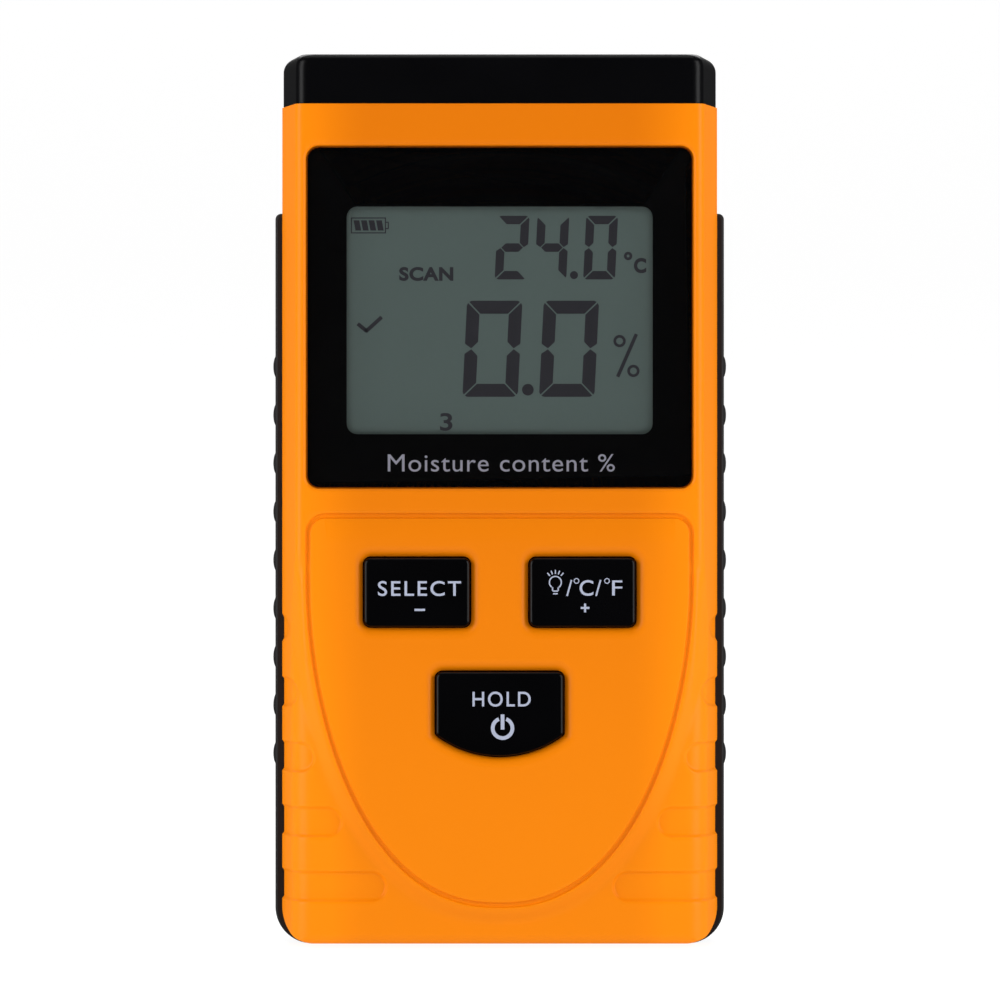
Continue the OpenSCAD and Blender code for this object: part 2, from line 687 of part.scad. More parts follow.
module tact_switch(place) difference() {
    translate([place[0] - switch_w / 2, y_switch, place[1] - switch_w / 2]) cube([switch_w, switch_h, switch_w]);
    post(place, plunger_r + plunger_gap, y_switch - past, y_switch + plunger_in + key_travel + plunger_gap);
}
module plunger(place) post(place, plunger_r, y_switch - plunger_up, y_switch + plunger_in);
module select_switch() color([0.15, 0.15, 0.16]) tact_switch(key_places[0]);
module light_switch() color([0.15, 0.15, 0.16]) tact_switch(key_places[1]);
module hold_switch() color([0.15, 0.15, 0.16]) tact_switch(key_places[2]);
module select_plunger() color([0.85, 0.8, 0.3]) plunger(key_places[0]);
module light_plunger() color([0.85, 0.8, 0.3]) plunger(key_places[1]);
module hold_plunger() color([0.85, 0.8, 0.3]) plunger(key_places[2]);

// A key cap: bevelled top, body through the well, flange behind the face, and a stem to its switch.
// Its children are the outlines of the top, body, hollow and flange.
module key_cap(place) {
    slab(y_key, y_face) children(0);
    difference() {
        slab(y_face - key_overlap, y_flange + flange_t) children(1);
        slab(y_key + key_crown, y_flange + flange_t + past) children(2);
    }
    difference() {
        slab(y_flange, y_flange + flange_t) children(3);
        slab(y_flange - past, y_flange + flange_t + past) children(2);
    }
    post(place, stem_r, y_key + key_crown - stem_root, y_switch - plunger_up);
}
module corner_key(x, place) key_cap(place) {
    polygon(key_outline(x, -key_gap - key_bevel));
    polygon(key_outline(x, -key_gap));
    polygon(key_outline(x, -key_gap - key_skirt));
    polygon(key_outline(x, key_flange));
}
module select_key() color(black) corner_key(-key_x, key_places[0]);
module light_key() color(black) corner_key(key_x, key_places[1]);
module hold_key() color(black) key_cap(key_places[2]) {
    polygon(hold_outline(-key_gap - key_bevel));
    polygon(hold_outline(-key_gap));
    polygon(hold_outline(-key_gap - key_skirt));
    polygon(hold_outline(key_flange));
}

module sensor_cover() color([0.1, 0.1, 0.11])
    plate(-pad_w / 2, pad_w / 2, y_back - pad_recess, y_back + pad_proud, pad_z, pad_top, pad_r);
module sensor_board() color(board_green)
    plate(-sensor_half, sensor_half, y_sensor, y_sensor + sensor_t,
          pad_z + sensor_margin, pad_top - sensor_margin, board_r);
module sensor_electrodes() color(copper) for (s = [-1, 1])
    plate((s - 1) * sensor_half / 2 + electrode_margin, (s + 1) * sensor_half / 2 - electrode_margin,
          y_wall - electrode_t, y_wall, pad_z + sensor_margin + electrode_margin,
          pad_top - sensor_margin - electrode_margin, electrode_margin);

// Leads from the main board to the sensor board
lead_r = 0.55;
lead_x = 3;
lead_high = pcb_top - 18;
lead_low = pcb_top - 30;
module sensor_leads() color([0.75, 0.75, 0.72]) for (x = [-lead_x, lead_x])
    wire(route([x, y_pcb_back, lead_high], [x, y_pcb_back + 6, lead_high],
               [x, y_sensor - 6, lead_low], [x, y_sensor, lead_low]), lead_r, [1, 0, 0]);

// Cells side by side, each turned the other way from its neighbour, with a spring at its flat end
cell_button_l = 0.9;
cell_button_r = 1.9;
cell_edge_r = 0.6;
function cell_x(i) = (i - (cell_count - 1) / 2) * cell_pitch;
function spring_low(i) = i % 2 == 0;
module cell() {
    can_l = cell_l - cell_button_l;
    rotate_extrude() polygon(concat([[0, 0]], corner([0, 0], [cell_d / 2, 0], [cell_d / 2, can_l], cell_edge_r),
        corner([cell_d / 2, 0], [cell_d / 2, can_l], [0, can_l], cell_edge_r),
        [[cell_button_r, can_l], [cell_button_r, cell_l], [0, cell_l]]));
}
module battery_cells() color([0.3, 0.42, 0.5]) for (i = [0:cell_count - 1])
    translate([cell_x(i), y_cell, spring_low(i) ? bay_z + plate_t + spring_l : bay_top - plate_t - spring_l])
        mirror([0, 0, spring_low(i) ? 0 : 1]) cell();

spring_wire_r = 0.3;
spring_r = 2.6;
spring_turns = 4;
spring_taper = 0.25;
module battery_springs() color(steel) for (i = [0:cell_count - 1])
    translate([cell_x(i), y_cell, spring_low(i) ? bay_z + plate_t : bay_top - plate_t])
        mirror([0, 0, spring_low(i) ? 0 : 1])
            wire([for (a = [0:36:360 * spring_turns])
                  let (t = a / (360 * spring_turns), r = spring_r * (1 - spring_taper * t))
                  [r * cos(a), r * sin(a), spring_wire_r + (spring_l - 2 * spring_wire_r) * t]],
                 spring_wire_r, [0, 0, 1], 6);

// Contact plates: neighbours are joined in pairs, and the two ends of the row carry solder tabs
plate_half = cell_d / 2 - 0.6;
plate_h = 8;
tab_w = 1.6;
tab_t = 0.4;
tab_space = 1.1;
tab_up = 1.6;
tab_down = 0.8;
y_tab = y_bay + 0.6;
last = cell_count - 1;
// the two ends of the row as [x, 1 for the top of the bay or -1 for its bottom]
row_ends = [[cell_x(0), 1], [cell_x(last), spring_low(last) ? -1 : 1]];
function tab_end(e) = e[1] > 0 ? bay_top + bay_wall + tab_up : bay_z - bay_wall - tab_down;
module contact(x0, x1, low)
    plate(x0 - plate_half, x1 + plate_half, y_cell - plate_h / 2, y_cell + plate_h / 2,
          low ? bay_z : bay_top - plate_t, low ? bay_z + plate_t : bay_top);
module battery_plates() color([0.8, 0.78, 0.7]) {
    for (i = [0:1:last - 1]) contact(cell_x(i), cell_x(i + 1), i % 2 == 0);
    for (e = row_ends) {
        contact(e[0], e[0], e[1] < 0);
        // each tab starts under its contact and passes through the bay's end wall
        z = e[1] > 0 ? bay_top - plate_t : bay_z + plate_t;
        translate([e[0] - tab_w / 2, y_tab, min(z, tab_end(e))]) cube([tab_w, tab_t, abs(tab_end(e) - z)]);
        translate([e[0] - tab_w / 2, y_tab, e[1] > 0 ? bay_top - plate_t : bay_z])
            cube([tab_w, y_cell - plate_h / 2 - y_tab + 0.1, plate_t]);
    }
}
module battery_leads() color([0.7, 0.1, 0.1]) {
    // from the upper tab to the board
    x0 = cell_x(0);
    up = tab_end(row_ends[0]);
    wire(route([x0, y_tab, up], [x0, y_tab, bay_top + 8],
               [x0, y_pcb_back + 5, bay_top + 9], [x0, y_pcb_back, bay_top + 9]), lead_r, [1, 0, 0]);
    // from the other tab, round the side of the bay, to the board
    x1 = cell_x(last) + tab_w / 2;
    x = bay_half + bay_wall + 2;
    y = y_tab + tab_t / 2;
    low = bay_z - bay_wall - tab_down;
    wire(concat([[x1, y, low], [x1 + 1.6, y, low], [x - 2, y, low], [x - 0.6, y, low + 0.4], [x, y, low + 2]],
                [for (z = [bay_z + 8, bay_z + 20, bay_z + 32, bay_top - 4]) [x, y, z]],
                [[x, y_tab, bay_top], [x, y_tab - 1.2, bay_top + 1.2], [x, y_pcb_back, bay_top + 1.6]]),
         lead_r, [1, 1, 0]);
}

// Battery door: a plate with two tongues, thumb ridges and an arrow
thumb_ridges = 6;
thumb_half = 9;
thumb_h = 1.2;
thumb_pitch = 2.4;
thumb_drop = 22;
mark_root = 0.2;
arrow_drop = 10;
arrow_w = 10;
arrow_h = 5;
module battery_door() color(black) {
    plate(-door_half, door_half, y_door, y_back, door_z, door_top, 0.5);
    plate(-tongue_half, tongue_half, y_door, y_door + tongue_t, door_z, door_top);
    for (i = [0:thumb_ridges - 1]) {
        z = door_top - thumb_drop - thumb_pitch * i;
        plate(-thumb_half, thumb_half, y_back - mark_root, y_back + 0.5, z, z + thumb_h, 0.5);
    }
    slab(y_back - mark_root, y_back + 0.4) translate([0, door_top - arrow_drop])
        polygon([[-arrow_w / 2, 0], [arrow_w / 2, 0], [0, -arrow_h]]);
}

module case_screws() color(steel) for (p = screw_places) {
    post(p, screw_d / 2, y_part - screw_bite, y_seat);
    screw_head(p, screw_head_d / 2, y_seat, y_seat + screw_head_h, 3.4, 0.6, 1);
}
module rear_label() color([0.7, 0.71, 0.72])
    plate(-label_half, label_half, y_back - label_t, y_back, label_z, label_top, label_r);

front_shell();
back_shell();
end_cap();
left_grip();
right_grip();
display_lens();
lens_border();
lcd_front_glass();
lcd_rear_glass();
lcd_reflector();
backlight_panel();
lcd_holder();
zebra_connector();
circuit_board();
pcb_screws();
mcu_chip();
sensor_chip();
crystal();
thermistor();
capacitors();
select_switch();
light_switch();
hold_switch();
select_plunger();
light_plunger();
hold_plunger();
select_key();
light_key();
hold_key();
sensor_cover();
sensor_board();
sensor_electrodes();
sensor_leads();
battery_cells();
battery_springs();
battery_plates();
battery_leads();
battery_door();
case_screws();
rear_label();
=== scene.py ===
"""Looks of a hand-held moisture meter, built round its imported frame. Lengths are in metres."""

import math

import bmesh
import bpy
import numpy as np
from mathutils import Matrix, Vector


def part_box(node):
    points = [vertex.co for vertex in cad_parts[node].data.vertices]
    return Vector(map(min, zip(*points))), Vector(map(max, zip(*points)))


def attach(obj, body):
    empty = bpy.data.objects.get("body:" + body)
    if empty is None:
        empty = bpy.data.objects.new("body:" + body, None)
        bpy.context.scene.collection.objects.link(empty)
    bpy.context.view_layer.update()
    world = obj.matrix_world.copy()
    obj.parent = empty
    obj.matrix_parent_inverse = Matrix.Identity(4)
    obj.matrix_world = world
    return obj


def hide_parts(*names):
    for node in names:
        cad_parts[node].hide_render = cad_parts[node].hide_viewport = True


bl_info = {
    "name": "Moisture Meter",
    "version": (1, 0, 0),
    "blender": (4, 5, 0),
    "location": "View3D > Sidebar > Meter",
    "description": "Builds the shells, keys, grips, display and finishes of a hand-held moisture meter",
    "category": "Add Mesh",
}

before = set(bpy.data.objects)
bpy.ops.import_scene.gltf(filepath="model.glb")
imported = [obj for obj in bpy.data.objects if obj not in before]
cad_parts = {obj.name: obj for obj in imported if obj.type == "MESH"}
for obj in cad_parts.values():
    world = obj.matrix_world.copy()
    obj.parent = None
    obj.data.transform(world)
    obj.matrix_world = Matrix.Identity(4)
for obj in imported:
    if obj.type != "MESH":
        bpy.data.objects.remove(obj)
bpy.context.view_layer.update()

MM = 0.001
ARC_STEPS = 10
OVERLAP = 1 * MM                        # how far a cutter runs past what it cuts
KEYPAD_ACROSS, KEYPAD_DOWN = 2.3, 1.88  # powers of the keypad's outline
LIP_POWER = 2.2                         # how fast a pocket's lip falls towards its wall
BOLD = 0.018 * MM                       # how far the letters on the keys are thickened
KEYS = ("select_key", "light_key", "hold_key")


def low(node):
    """Lowest corner of a node, as an array."""
    return np.array(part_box(node)[0])


def high(node):
    """Highest corner of a node, as an array."""
    return np.array(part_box(node)[1])


FACE_Y = low("front_shell")[1]
PART_Y = high("front_shell")[1]
SEAM_Z = high("front_shell")[2]
LIFT_Z = low("front_shell")[2]
SIDE_X = high("front_shell")[0]
DEPTH = PART_Y - FACE_Y


# ---------------------------------------------------------------- sizes and colours

def length(name, description, default):
    """A length that a user can change."""
    return bpy.props.FloatProperty(name=name, description=description, default=default * MM,
                                   min=0.0, precision=5, unit="LENGTH")


def colour(name, description, red, green, blue):
    """A colour that a user can change, given as display values from 0 to 255 and kept as linear light."""
    shares = (c / 255 for c in (red, green, blue))
    linear = [((c + 0.055) / 1.055) ** 2.4 if c > 0.04 else c / 12.92 for c in shares]
    return bpy.props.FloatVectorProperty(name=name, description=description, default=linear,
                                         min=0.0, max=1.0, size=3, subtype="COLOR")


def count(name, description, default):
    """A number of like shapes."""
    return bpy.props.IntProperty(name=name, description=description, default=default, min=1)


def strength(name, description, default, unit="NONE"):
    """The strength of a light."""
    return bpy.props.FloatProperty(name=name, description=description, default=default, min=0.0, unit=unit)


class METER_PG_shell(bpy.types.PropertyGroup):
    """Sizes and colours of the front shell"""
    side_slope: length("Side slope", "How far each side leans in towards the face", 2.6)
    ridge_r: length("Ridge radius", "Radius of the ridge round the face", 1.5)
    flank_ridge_r: length("Flank ridge radius", "Radius of the ridge beside the flanks", 4.0)
    corner_r: length("Corner radius", "Radius of the lower corners", 5.2)
    wall: length("Wall", "Wall of the front shell", 2.0)
    face_t: length("Face thickness", "Thickness of the face behind the keypad", 2.8)
    keypad_half: length("Keypad half-width", "Half the width across the keypad's groove", 30.0)
    keypad_top: length("Keypad top", "Height of the groove's upper edge", 67.7)
    shoulder: length("Keypad shoulder", "Height at which the groove's sides begin to curve", 57.3)
    keypad_low: length("Keypad bottom", "Height of the groove's lowest point", 6.8)
    keypad_r: length("Keypad corner", "Radius of the groove's upper corners", 2.7)
    groove_w: length("Groove width", "Width of the groove round the keypad", 0.76)
    groove_d: length("Groove depth", "Depth of the groove round the keypad", 0.4)
    flank_drop: length("Flank drop", "How far the flanks lie below the keypad", 1.2)
    flank_in: length("Flank start", "Distance from the groove to where the flank begins to fall", 0.5)
    flank_out: length("Flank foot", "Distance from the groove to the foot of the flank's slope", 3.1)
    finger_h: length("Recess height", "Height of a finger recess", 4.65)
    finger_d: length("Recess depth", "Depth of a finger recess", 0.5)
    finger_land: length("Recess land", "Distance from the groove to the recesses", 3.35)
    finger_low: length("Lowest recess", "Height of the lowest recess's centre", 9.65)
    finger_pitch: length("Recess pitch", "Distance between two recesses", 10.1)
    finger_count: count("Recesses", "Recesses on each side", 5)
    # The shell colour is the front shell's lit tone. The shade colour is painted shade, which the orange
    # plastic lays on the middle and the top of the face.
    orange: colour("Shell", "Colour of the front shell", 250, 138, 0)
    orange_deep: colour("Shell shade", "Colour of the front shell where it is duller", 215, 112, 0)


class METER_PG_keys(bpy.types.PropertyGroup):
    """Sizes and colours of the keys"""
    gap: length("Gap", "Gap between a key and its well", 0.22)
    flange: length("Flange", "How far a key's flange reaches past its well", 1.0)
    flange_t: length("Flange thickness", "Thickness of a key's flange", 0.9)
    radius: length("Corner radius", "Corner radius of a well", 1.25)
    bevel: length("Bevel", "Width of the bevel round a key's top", 0.75)
    dish: length("Dish width", "Width of the soft dish round a well", 1.7)
    dish_d: length("Dish depth", "Depth of the soft dish round a well", 0.9)
    bow: length("Bow", "How far the hold key's lower edge bows down", 3.5)
    black: colour("Key", "Colour of the keys", 2, 2, 3)
    legend: colour("Legend", "Colour of the print on the keys", 170, 177, 198)


class METER_PG_display(bpy.types.PropertyGroup):
    """Sizes and colours of the lens and the display"""
    lens_gap: length("Lens gap", "Gap round the lens", 0.1)
    lens_r: length("Lens corner", "Corner radius of the lens", 1.9)
    window_half: length("Window half-width", "Half the width of the window", 24.0)
    window_low: length("Window bottom", "Height of the window's lower edge", 80.5)
    window_high: length("Window top", "Height of the window's upper edge", 116.2)
    big_h: length("Reading height", "Height of the large digits", 15.1)
    small_h: length("Temperature height", "Height of the small digits", 10.0)
    slant: bpy.props.FloatProperty(name="Slant", description="Slant of the digits",
                                   default=math.radians(2.8), subtype="ANGLE")
    glass: colour("Glass", "Colour of the idle display", 124, 143, 139)
    segment: colour("Segment", "Colour of a dark segment", 66, 65, 73)
    border: colour("Border", "Colour of the print behind the lens", 6, 6, 8)
    caption: colour("Caption", "Colour of the caption on the lens", 208, 208, 226)


class METER_PG_body(bpy.types.PropertyGroup):
    """Sizes and colours of the end cap, the grips and the rear parts"""
    cap_r: length("Cap corner", "Radius of the end cap's upper corners", 2.3)
    cap_edge: length("Cap edge", "Radius of the end cap's front and rear top edges", 1.3)
    cap_ridge: length("Cap ridge", "Radius of the end cap's upright front edges", 2.0)
    grip_r: length("Grip corner", "Radius of the grips round the lower corners", 5.8)
    grip_inner_r: length("Grip inner corner", "Radius of a grip's inner corner", 3.7)
    grip_t: length("Grip thickness", "Thickness of a grip under its ribs", 2.1)
    grip_edge: length("Grip edge", "Radius of a grip's outer edges", 0.45)
    rib_pitch: length("Rib pitch", "Distance between two ribs", 7.67)
    rib_z: length("Lowest rib", "Height of the lowest rib's centre", 30.0)
    rib_h: length("Rib height", "Height of a rib", 4.2)
    rib_count: count("Ribs", "Ribs on each grip", 9)
    edge: length("Edge", "Width of the softened edges of the moulded parts", 0.18)
    black: colour("Black shell", "Colour of the back shell and end cap", 13, 13, 15)
    rubber: colour("Grip", "Colour of the grips", 17, 14, 15)


class METER_PG_stage(bpy.types.PropertyGroup):
    """Places of the camera, and the strengths of the lights"""
    distance: length("Camera distance", "Distance from the face to the camera", 900.0)
    height: length("Camera height", "Height of the camera above the base", 70.18)
    frame_w: length("Frame width", "Width of the view at the face", 156.4)
    floor: colour("Floor", "Colour of the floor", 120, 120, 120)
    world: strength("Room light", "Strength of the even room light", 0.07)
    glow: strength("Floor glow", "Strength of the lit floor and backdrop", 0.9)
    top_light: strength("Top light", "Power of the light overhead", 0.9, "POWER")
    back_light: strength("Back light", "Power of the light behind", 4.0, "POWER")
    side_light: strength("Side light", "Power of each side light", 1.95, "POWER")
    front_light: strength("Front light", "Power of the front light", 1.3, "POWER")


# ---------------------------------------------------------------- outlines, seen from the front as x and z

def corner(before, at, after, radius, steps=ARC_STEPS):
    """A corner rounded by an arc that touches both of its lines, as steps + 1 points."""
    before, at, after = (np.asarray(p, float) for p in (before, at, after))
    radius = max(radius, 0.05 * MM)
    u = (before - at) / np.linalg.norm(before - at)
    v = (after - at) / np.linalg.norm(after - at)
    half = math.acos(float(np.clip(u @ v, -1, 1))) / 2
    middle = at + (u + v) / np.linalg.norm(u + v) * radius / math.sin(half)
    start = at + u * radius / math.tan(half) - middle
    end = at + v * radius / math.tan(half) - middle
    first = math.atan2(start[1], start[0])
    turn = (math.atan2(end[1], end[0]) - first + math.pi) % (2 * math.pi) - math.pi
    angle = first + turn * np.linspace(0, 1, steps + 1)
    return middle + radius * np.column_stack([np.cos(angle), np.sin(angle)])


def rounded(path, radii, steps=ARC_STEPS):
    """A closed path with each corner rounded to its own radius."""
    n = len(path)
    return np.vstack([corner(path[i - 1], path[i], path[(i + 1) % n], radii[i], steps) for i in range(n)])


def rectangle(x0, x1, z0, z1, radius):
    """A rectangle with rounded corners, counter-clockwise."""
    return rounded([(x0, z0), (x1, z0), (x1, z1), (x0, z1)], [radius] * 4)


def around(node, out, radius):
    """A node's box seen from the front, moved outwards, with rounded corners."""
    a, b = low(node), high(node)
    return rectangle(a[0] - out, b[0] + out, a[2] - out, b[2] + out, radius)


def ease(t):
    """A smooth step from 0 to 1, 3 t^2 - 2 t^3."""
    return t * t * (3 - 2 * t)


def keypad_outline(s, out, steps=100):
    """The groove's path, moved outwards. Below the shoulder the half-width x and the drop d follow
    (x / half) ^ across + (d / depth) ^ down = 1, as a superellipse; above it the sides are straight."""
    across, down = KEYPAD_ACROSS, KEYPAD_DOWN
    t = np.linspace(math.pi / 2, 0, steps + 1)
    depth = s.shoulder - s.keypad_low
    x = s.keypad_half * np.cos(t).clip(0) ** (2 / across)
    d = depth * np.sin(t).clip(0) ** (2 / down)
    normal = np.column_stack([(x / s.keypad_half) ** (across - 1) * across / s.keypad_half,
                              -(d / depth) ** (down - 1) * down / depth])
    normal /= np.linalg.norm(normal, axis=1)[:, None]
    curve = np.column_stack([x, s.shoulder - d]) + out * normal
    half, top = s.keypad_half + out, s.keypad_top + out
    turn = corner((half, s.shoulder), (half, top), (0, top), s.keypad_r + out)
    right = np.vstack([curve, turn])
    return np.vstack([right, right[:0:-1] * (-1, 1)])


def key_outline(node, s, out):
    """Well of a key, moved outwards: a rectangle, but the hold key's lower edge is an arc."""
    if node == "hold_key":
        return hold_outline(s, out)
    return around(node, out - s.flange, s.radius + out)


def hold_outline(s, out):
    """Well of the hold key, moved outwards: a rectangle whose lower edge is an arc."""
    a, b, grow = low("hold_key"), high("hold_key"), s.flange - out
    half, top = b[0] - grow, b[2] - grow
    real = b[0] - s.flange
    radius = (real ** 2 + s.bow ** 2) / (2 * s.bow) + out
    middle = a[2] + s.flange + radius - out
    reach = math.asin(half / radius)
    angle = np.linspace(-1, 1, 25)[1:-1] * reach
    bow = np.column_stack([radius * np.sin(angle), middle - radius * np.cos(angle)])
    side = middle - radius * math.cos(reach)
    edge = s.radius + out
    return np.vstack([bow, corner(bow[-1], (half, side), (half, top), edge / 2),
                      corner((half, side), (half, top), (0, top), edge),
                      corner((0, top), (-half, top), (-half, side), edge),
                      corner((-half, top), (-half, side), bow[0], edge / 2)])


# ---------------------------------------------------------------- solids

def solid(name, points, faces):
    """A mesh object of these points and faces, with doubles merged and its faces turned outwards."""
    mesh = bpy.data.meshes.new(name)
    mesh.from_pydata(np.asarray(points).tolist(), [], faces)
    work = bmesh.new()
    work.from_mesh(mesh)
    bmesh.ops.remove_doubles(work, verts=work.verts, dist=0.0005 * MM)
    bmesh.ops.dissolve_degenerate(work, edges=work.edges, dist=0.0005 * MM)
    bmesh.ops.recalc_face_normals(work, faces=work.faces)
    work.to_mesh(mesh)
    work.free()
    made = bpy.data.objects.new(name, mesh)
    bpy.context.scene.collection.objects.link(made)
    return made


def strip(rows, columns, closed_rows=False, closed_columns=True):
    """Quads of a grid of points, row by row, joined round where it is closed."""
    i = np.arange(rows if closed_rows else rows - 1)[:, None]
    j = np.arange(columns if closed_columns else columns - 1)[None, :]
    a, b = i * columns + j, i * columns + (j + 1) % columns
    up = ((i + 1) % rows) * columns
    return np.stack([a, b, up + (j + 1) % columns, up + j], axis=-1).reshape(-1, 4).tolist()


def rim_of(rows, columns):
    """Indices of the points round the edge of a grid, in order."""
    index = np.arange(rows * columns).reshape(rows, columns)
    return np.concatenate([index[0, :], index[1:, -1], index[-1, -2::-1], index[-2:0:-1, 0]])


def front(outline, y):
    """Points of an outline seen from the front, at depth y."""
    return np.column_stack([outline[:, 0], np.full(len(outline), y), outline[:, 1]])


def above(outline, z):
    """Points of an outline seen from above, at height z."""
    return np.column_stack([outline, np.full(len(outline), z)])


def loft(name, rings):
    """A closed solid through rings of equally many points, with a flat face at each end."""
    n = len(rings[0])
    faces = strip(len(rings), n)
    faces += [list(range(n)), list(range((len(rings) - 1) * n, len(rings) * n))]
    return solid(name, np.vstack(rings), faces)


def hoop(name, rings):
    """A closed solid through rings of equally many points, whose last ring joins the first."""
    return solid(name, np.vstack(rings), strip(len(rings), len(rings[0]), closed_rows=True))


def combine(body, operation, parts):
    """Cuts the parts from the body, or joins them to it, and removes them. The result has to have faces."""
    for part in parts:
        step = body.modifiers.new("combine", "BOOLEAN")
        step.operation, step.solver, step.object = operation, "MANIFOLD", part
        bpy.context.view_layer.update()
        made = bpy.data.meshes.new_from_object(body.evaluated_get(bpy.context.evaluated_depsgraph_get()))
        body.modifiers.clear()
        old, body.data = body.data, made
        bpy.data.meshes.remove(old)
        bpy.data.meshes.remove(part.data)
    if not body.data.polygons:
        raise RuntimeError(f"{body.name} came out empty")
    return body


def smooth(piece, angle):
    """Smooth shading up to an angle, where large flat faces keep their own direction."""
    piece.data.shade_smooth()
    piece.data.set_sharp_from_angle(angle=math.radians(angle))
    weighted = piece.modifiers.new("weighted", "WEIGHTED_NORMAL")
    weighted.keep_sharp = True
    weighted.mode = "FACE_AREA"
    return piece


def place(piece, body, finish, replaces=()):
    """Gives a piece its material and lets it ride on its body."""
    piece.data.materials.clear()
    piece.data.materials.append(finish)
    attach(piece, body)
    if replaces:
        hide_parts(*replaces)
    return piece


def quarter(count):
    """Angles from 0 to a quarter turn."""
    return np.linspace(0, math.pi / 2, count)


# ---------------------------------------------------------------- materials

class Wire:
    """One socket of a material. Sums and products of wires and numbers add Math nodes."""

    def __init__(self, finish, socket):
        self.finish, self.socket = finish, socket

    def math(self, operation, first, second):
        """Adds a Math node of two values."""
        return self.finish.node("ShaderNodeMath", {"operation": operation}, {0: first, 1: second})

    def __add__(self, other):
        return self.math("ADD", self, other)

    def __radd__(self, other):
        return self.math("ADD", other, self)

    def __sub__(self, other):
        return self.math("SUBTRACT", self, other)

    def __rsub__(self, other):
        return self.math("SUBTRACT", other, self)

    def __mul__(self, other):
        return self.math("MULTIPLY", self, other)

    def __rmul__(self, other):
        return self.math("MULTIPLY", other, self)

    def __mod__(self, other):
        return self.math("FLOORED_MODULO", self, other)

    def larger(self, other):
        """The larger of two values."""
        return self.math("MAXIMUM", self, other)

    def __abs__(self):
        return self.math("ABSOLUTE", self, 0.0)


class Finish:
    """A material under construction."""

    def __init__(self, name):
        self.material = bpy.data.materials.new(name)
        self.material.use_nodes = True
        self.tree = self.material.node_tree
        self.tree.nodes.clear()
        self.place = self.node("ShaderNodeTexCoord", {}, {}, "Object")

    def node(self, kind, settings, inputs, output=0):
        """Adds a node: its settings first, then the values or wires of its sockets."""
        made = self.tree.nodes.new(kind)
        for name, value in settings.items():
            setattr(made, name, value)
        for key, value in inputs.items():
            if isinstance(value, Wire):
                self.tree.links.new(value.socket, made.inputs[key])
            else:
                made.inputs[key].default_value = value
        return Wire(self, made.outputs[output]) if made.outputs else None

    def noise(self, size, detail=2.0, stretch=(1.0, 1.0, 1.0)):
        """Noise from 0 to 1 with features of about this size."""
        where = self.node("ShaderNodeMapping", {}, {"Vector": self.place, "Scale": stretch})
        return self.node("ShaderNodeTexNoise", {}, {"Vector": where, "Scale": 1 / size, "Detail": detail})

    def cells(self, size):
        """Distance to the middle of the nearest of many small cells."""
        return self.node("ShaderNodeTexVoronoi", {}, {"Vector": self.place, "Scale": 1 / size})

    def axes(self):
        """The x, y and z of each point."""
        return [self.node("ShaderNodeSeparateXYZ", {}, {0: self.place}, i) for i in range(3)]

    def blend(self, share, first, second):
        """A colour between two colours."""
        first, second = (c if isinstance(c, Wire) else (*tuple(c)[:3], 1.0) for c in (first, second))
        return self.node("ShaderNodeMix", {"data_type": "RGBA"}, {0: share, 6: first, 7: second}, 2)

    def bump(self, height, depth):
        """A bumped normal."""
        return self.node("ShaderNodeBump", {}, {"Height": height, "Distance": depth, "Strength": 1.0})

    def stripes(self, value, pitch, inner, outer):
        """0 along the middle of many equal stripes and 1 beside it. The limits are shares of the pitch."""
        return self.range(abs(value * (1 / pitch) % 1.0 - 0.5), inner, outer)

    def range(self, value, start, end):
        """A value eased from 0 at start to 1 at end."""
        return self.node("ShaderNodeMapRange", {"interpolation_type": "SMOOTHSTEP"},
                         {"Value": value, "From Min": start, "From Max": end})

    def surface(self, **sockets):
        """Ends the material with one Principled shader."""
        inputs = {key.replace("_", " "): value for key, value in sockets.items()}
        if "Base Color" in inputs and not isinstance(inputs["Base Color"], Wire):
            inputs["Base Color"] = (*tuple(inputs["Base Color"])[:3], 1.0)
        shader = self.node("ShaderNodeBsdfPrincipled", {}, inputs)
        self.node("ShaderNodeOutputMaterial", {}, {"Surface": shader})
        return self.material


def scaled(tint, share):
    """A colour made darker or lighter."""
    return tuple(min(1.0, c * share) for c in tuple(tint)[:3])


def moulded(name, tint, shade, roughness, grain, depth, specular=0.5):
    """Moulded plastic: slow drifts of colour and gloss, and the fine grain of the mould."""
    f = Finish(name)
    drift = f.noise(22 * MM, 3.0)
    fine = f.noise(grain, 2.0)
    return f.surface(Base_Color=f.blend(f.range(drift, 0.3, 0.7), tint, shade),
                     Roughness=roughness + 0.08 * (drift - 0.5) + 0.05 * (fine - 0.5),
                     Normal=f.bump(fine, depth), Specular_IOR_Level=specular)


def orange_plastic(s):
    """Satin orange plastic with painted light and shade: darker along the middle and towards the top, where
    less light falls, and lighter towards the lit sides and bottom, with a fine mould grain.
    """
    f = Finish("orange_plastic")
    x, _, z = f.axes()
    # Painted light: the face is painted lighter towards its sides, where the side lights fall, and keeps the
    # painted shade colour along the middle.
    across = f.range(abs(x), 20 * MM, 33 * MM)
    # Painted light: lighter towards the bottom, and painted shade towards the top, under the end cap.
    lower = 1 - f.range(z, 0.0, 110 * MM)
    drift = f.noise(30 * MM, 2.0)
    fine = f.noise(0.3 * MM, 3.0)
    tint = f.blend(0.7 * across + 0.65 * lower + 0.08 * drift, s.orange_deep, s.orange)
    return f.surface(Base_Color=tint, Roughness=0.38 + 0.06 * (drift - 0.5) + 0.05 * (fine - 0.5),
                     Normal=f.bump(fine, 0.003 * MM), Specular_IOR_Level=0.13)


def rubber(s):
    """Soft grip rubber: matt, faintly dusty on top, with a spark-eroded grain."""
    f = Finish("grip_rubber")
    drift = f.noise(9 * MM, 3.0)
    pits = f.cells(0.34 * MM)
    dust = f.range(drift, 0.45, 0.75)
    return f.surface(Base_Color=f.blend(0.35 * dust, s.rubber, scaled(s.rubber, 1.7)),
                     Roughness=0.56 + 0.12 * drift, Normal=f.bump(pits, 0.012 * MM),
                     Specular_IOR_Level=0.4)


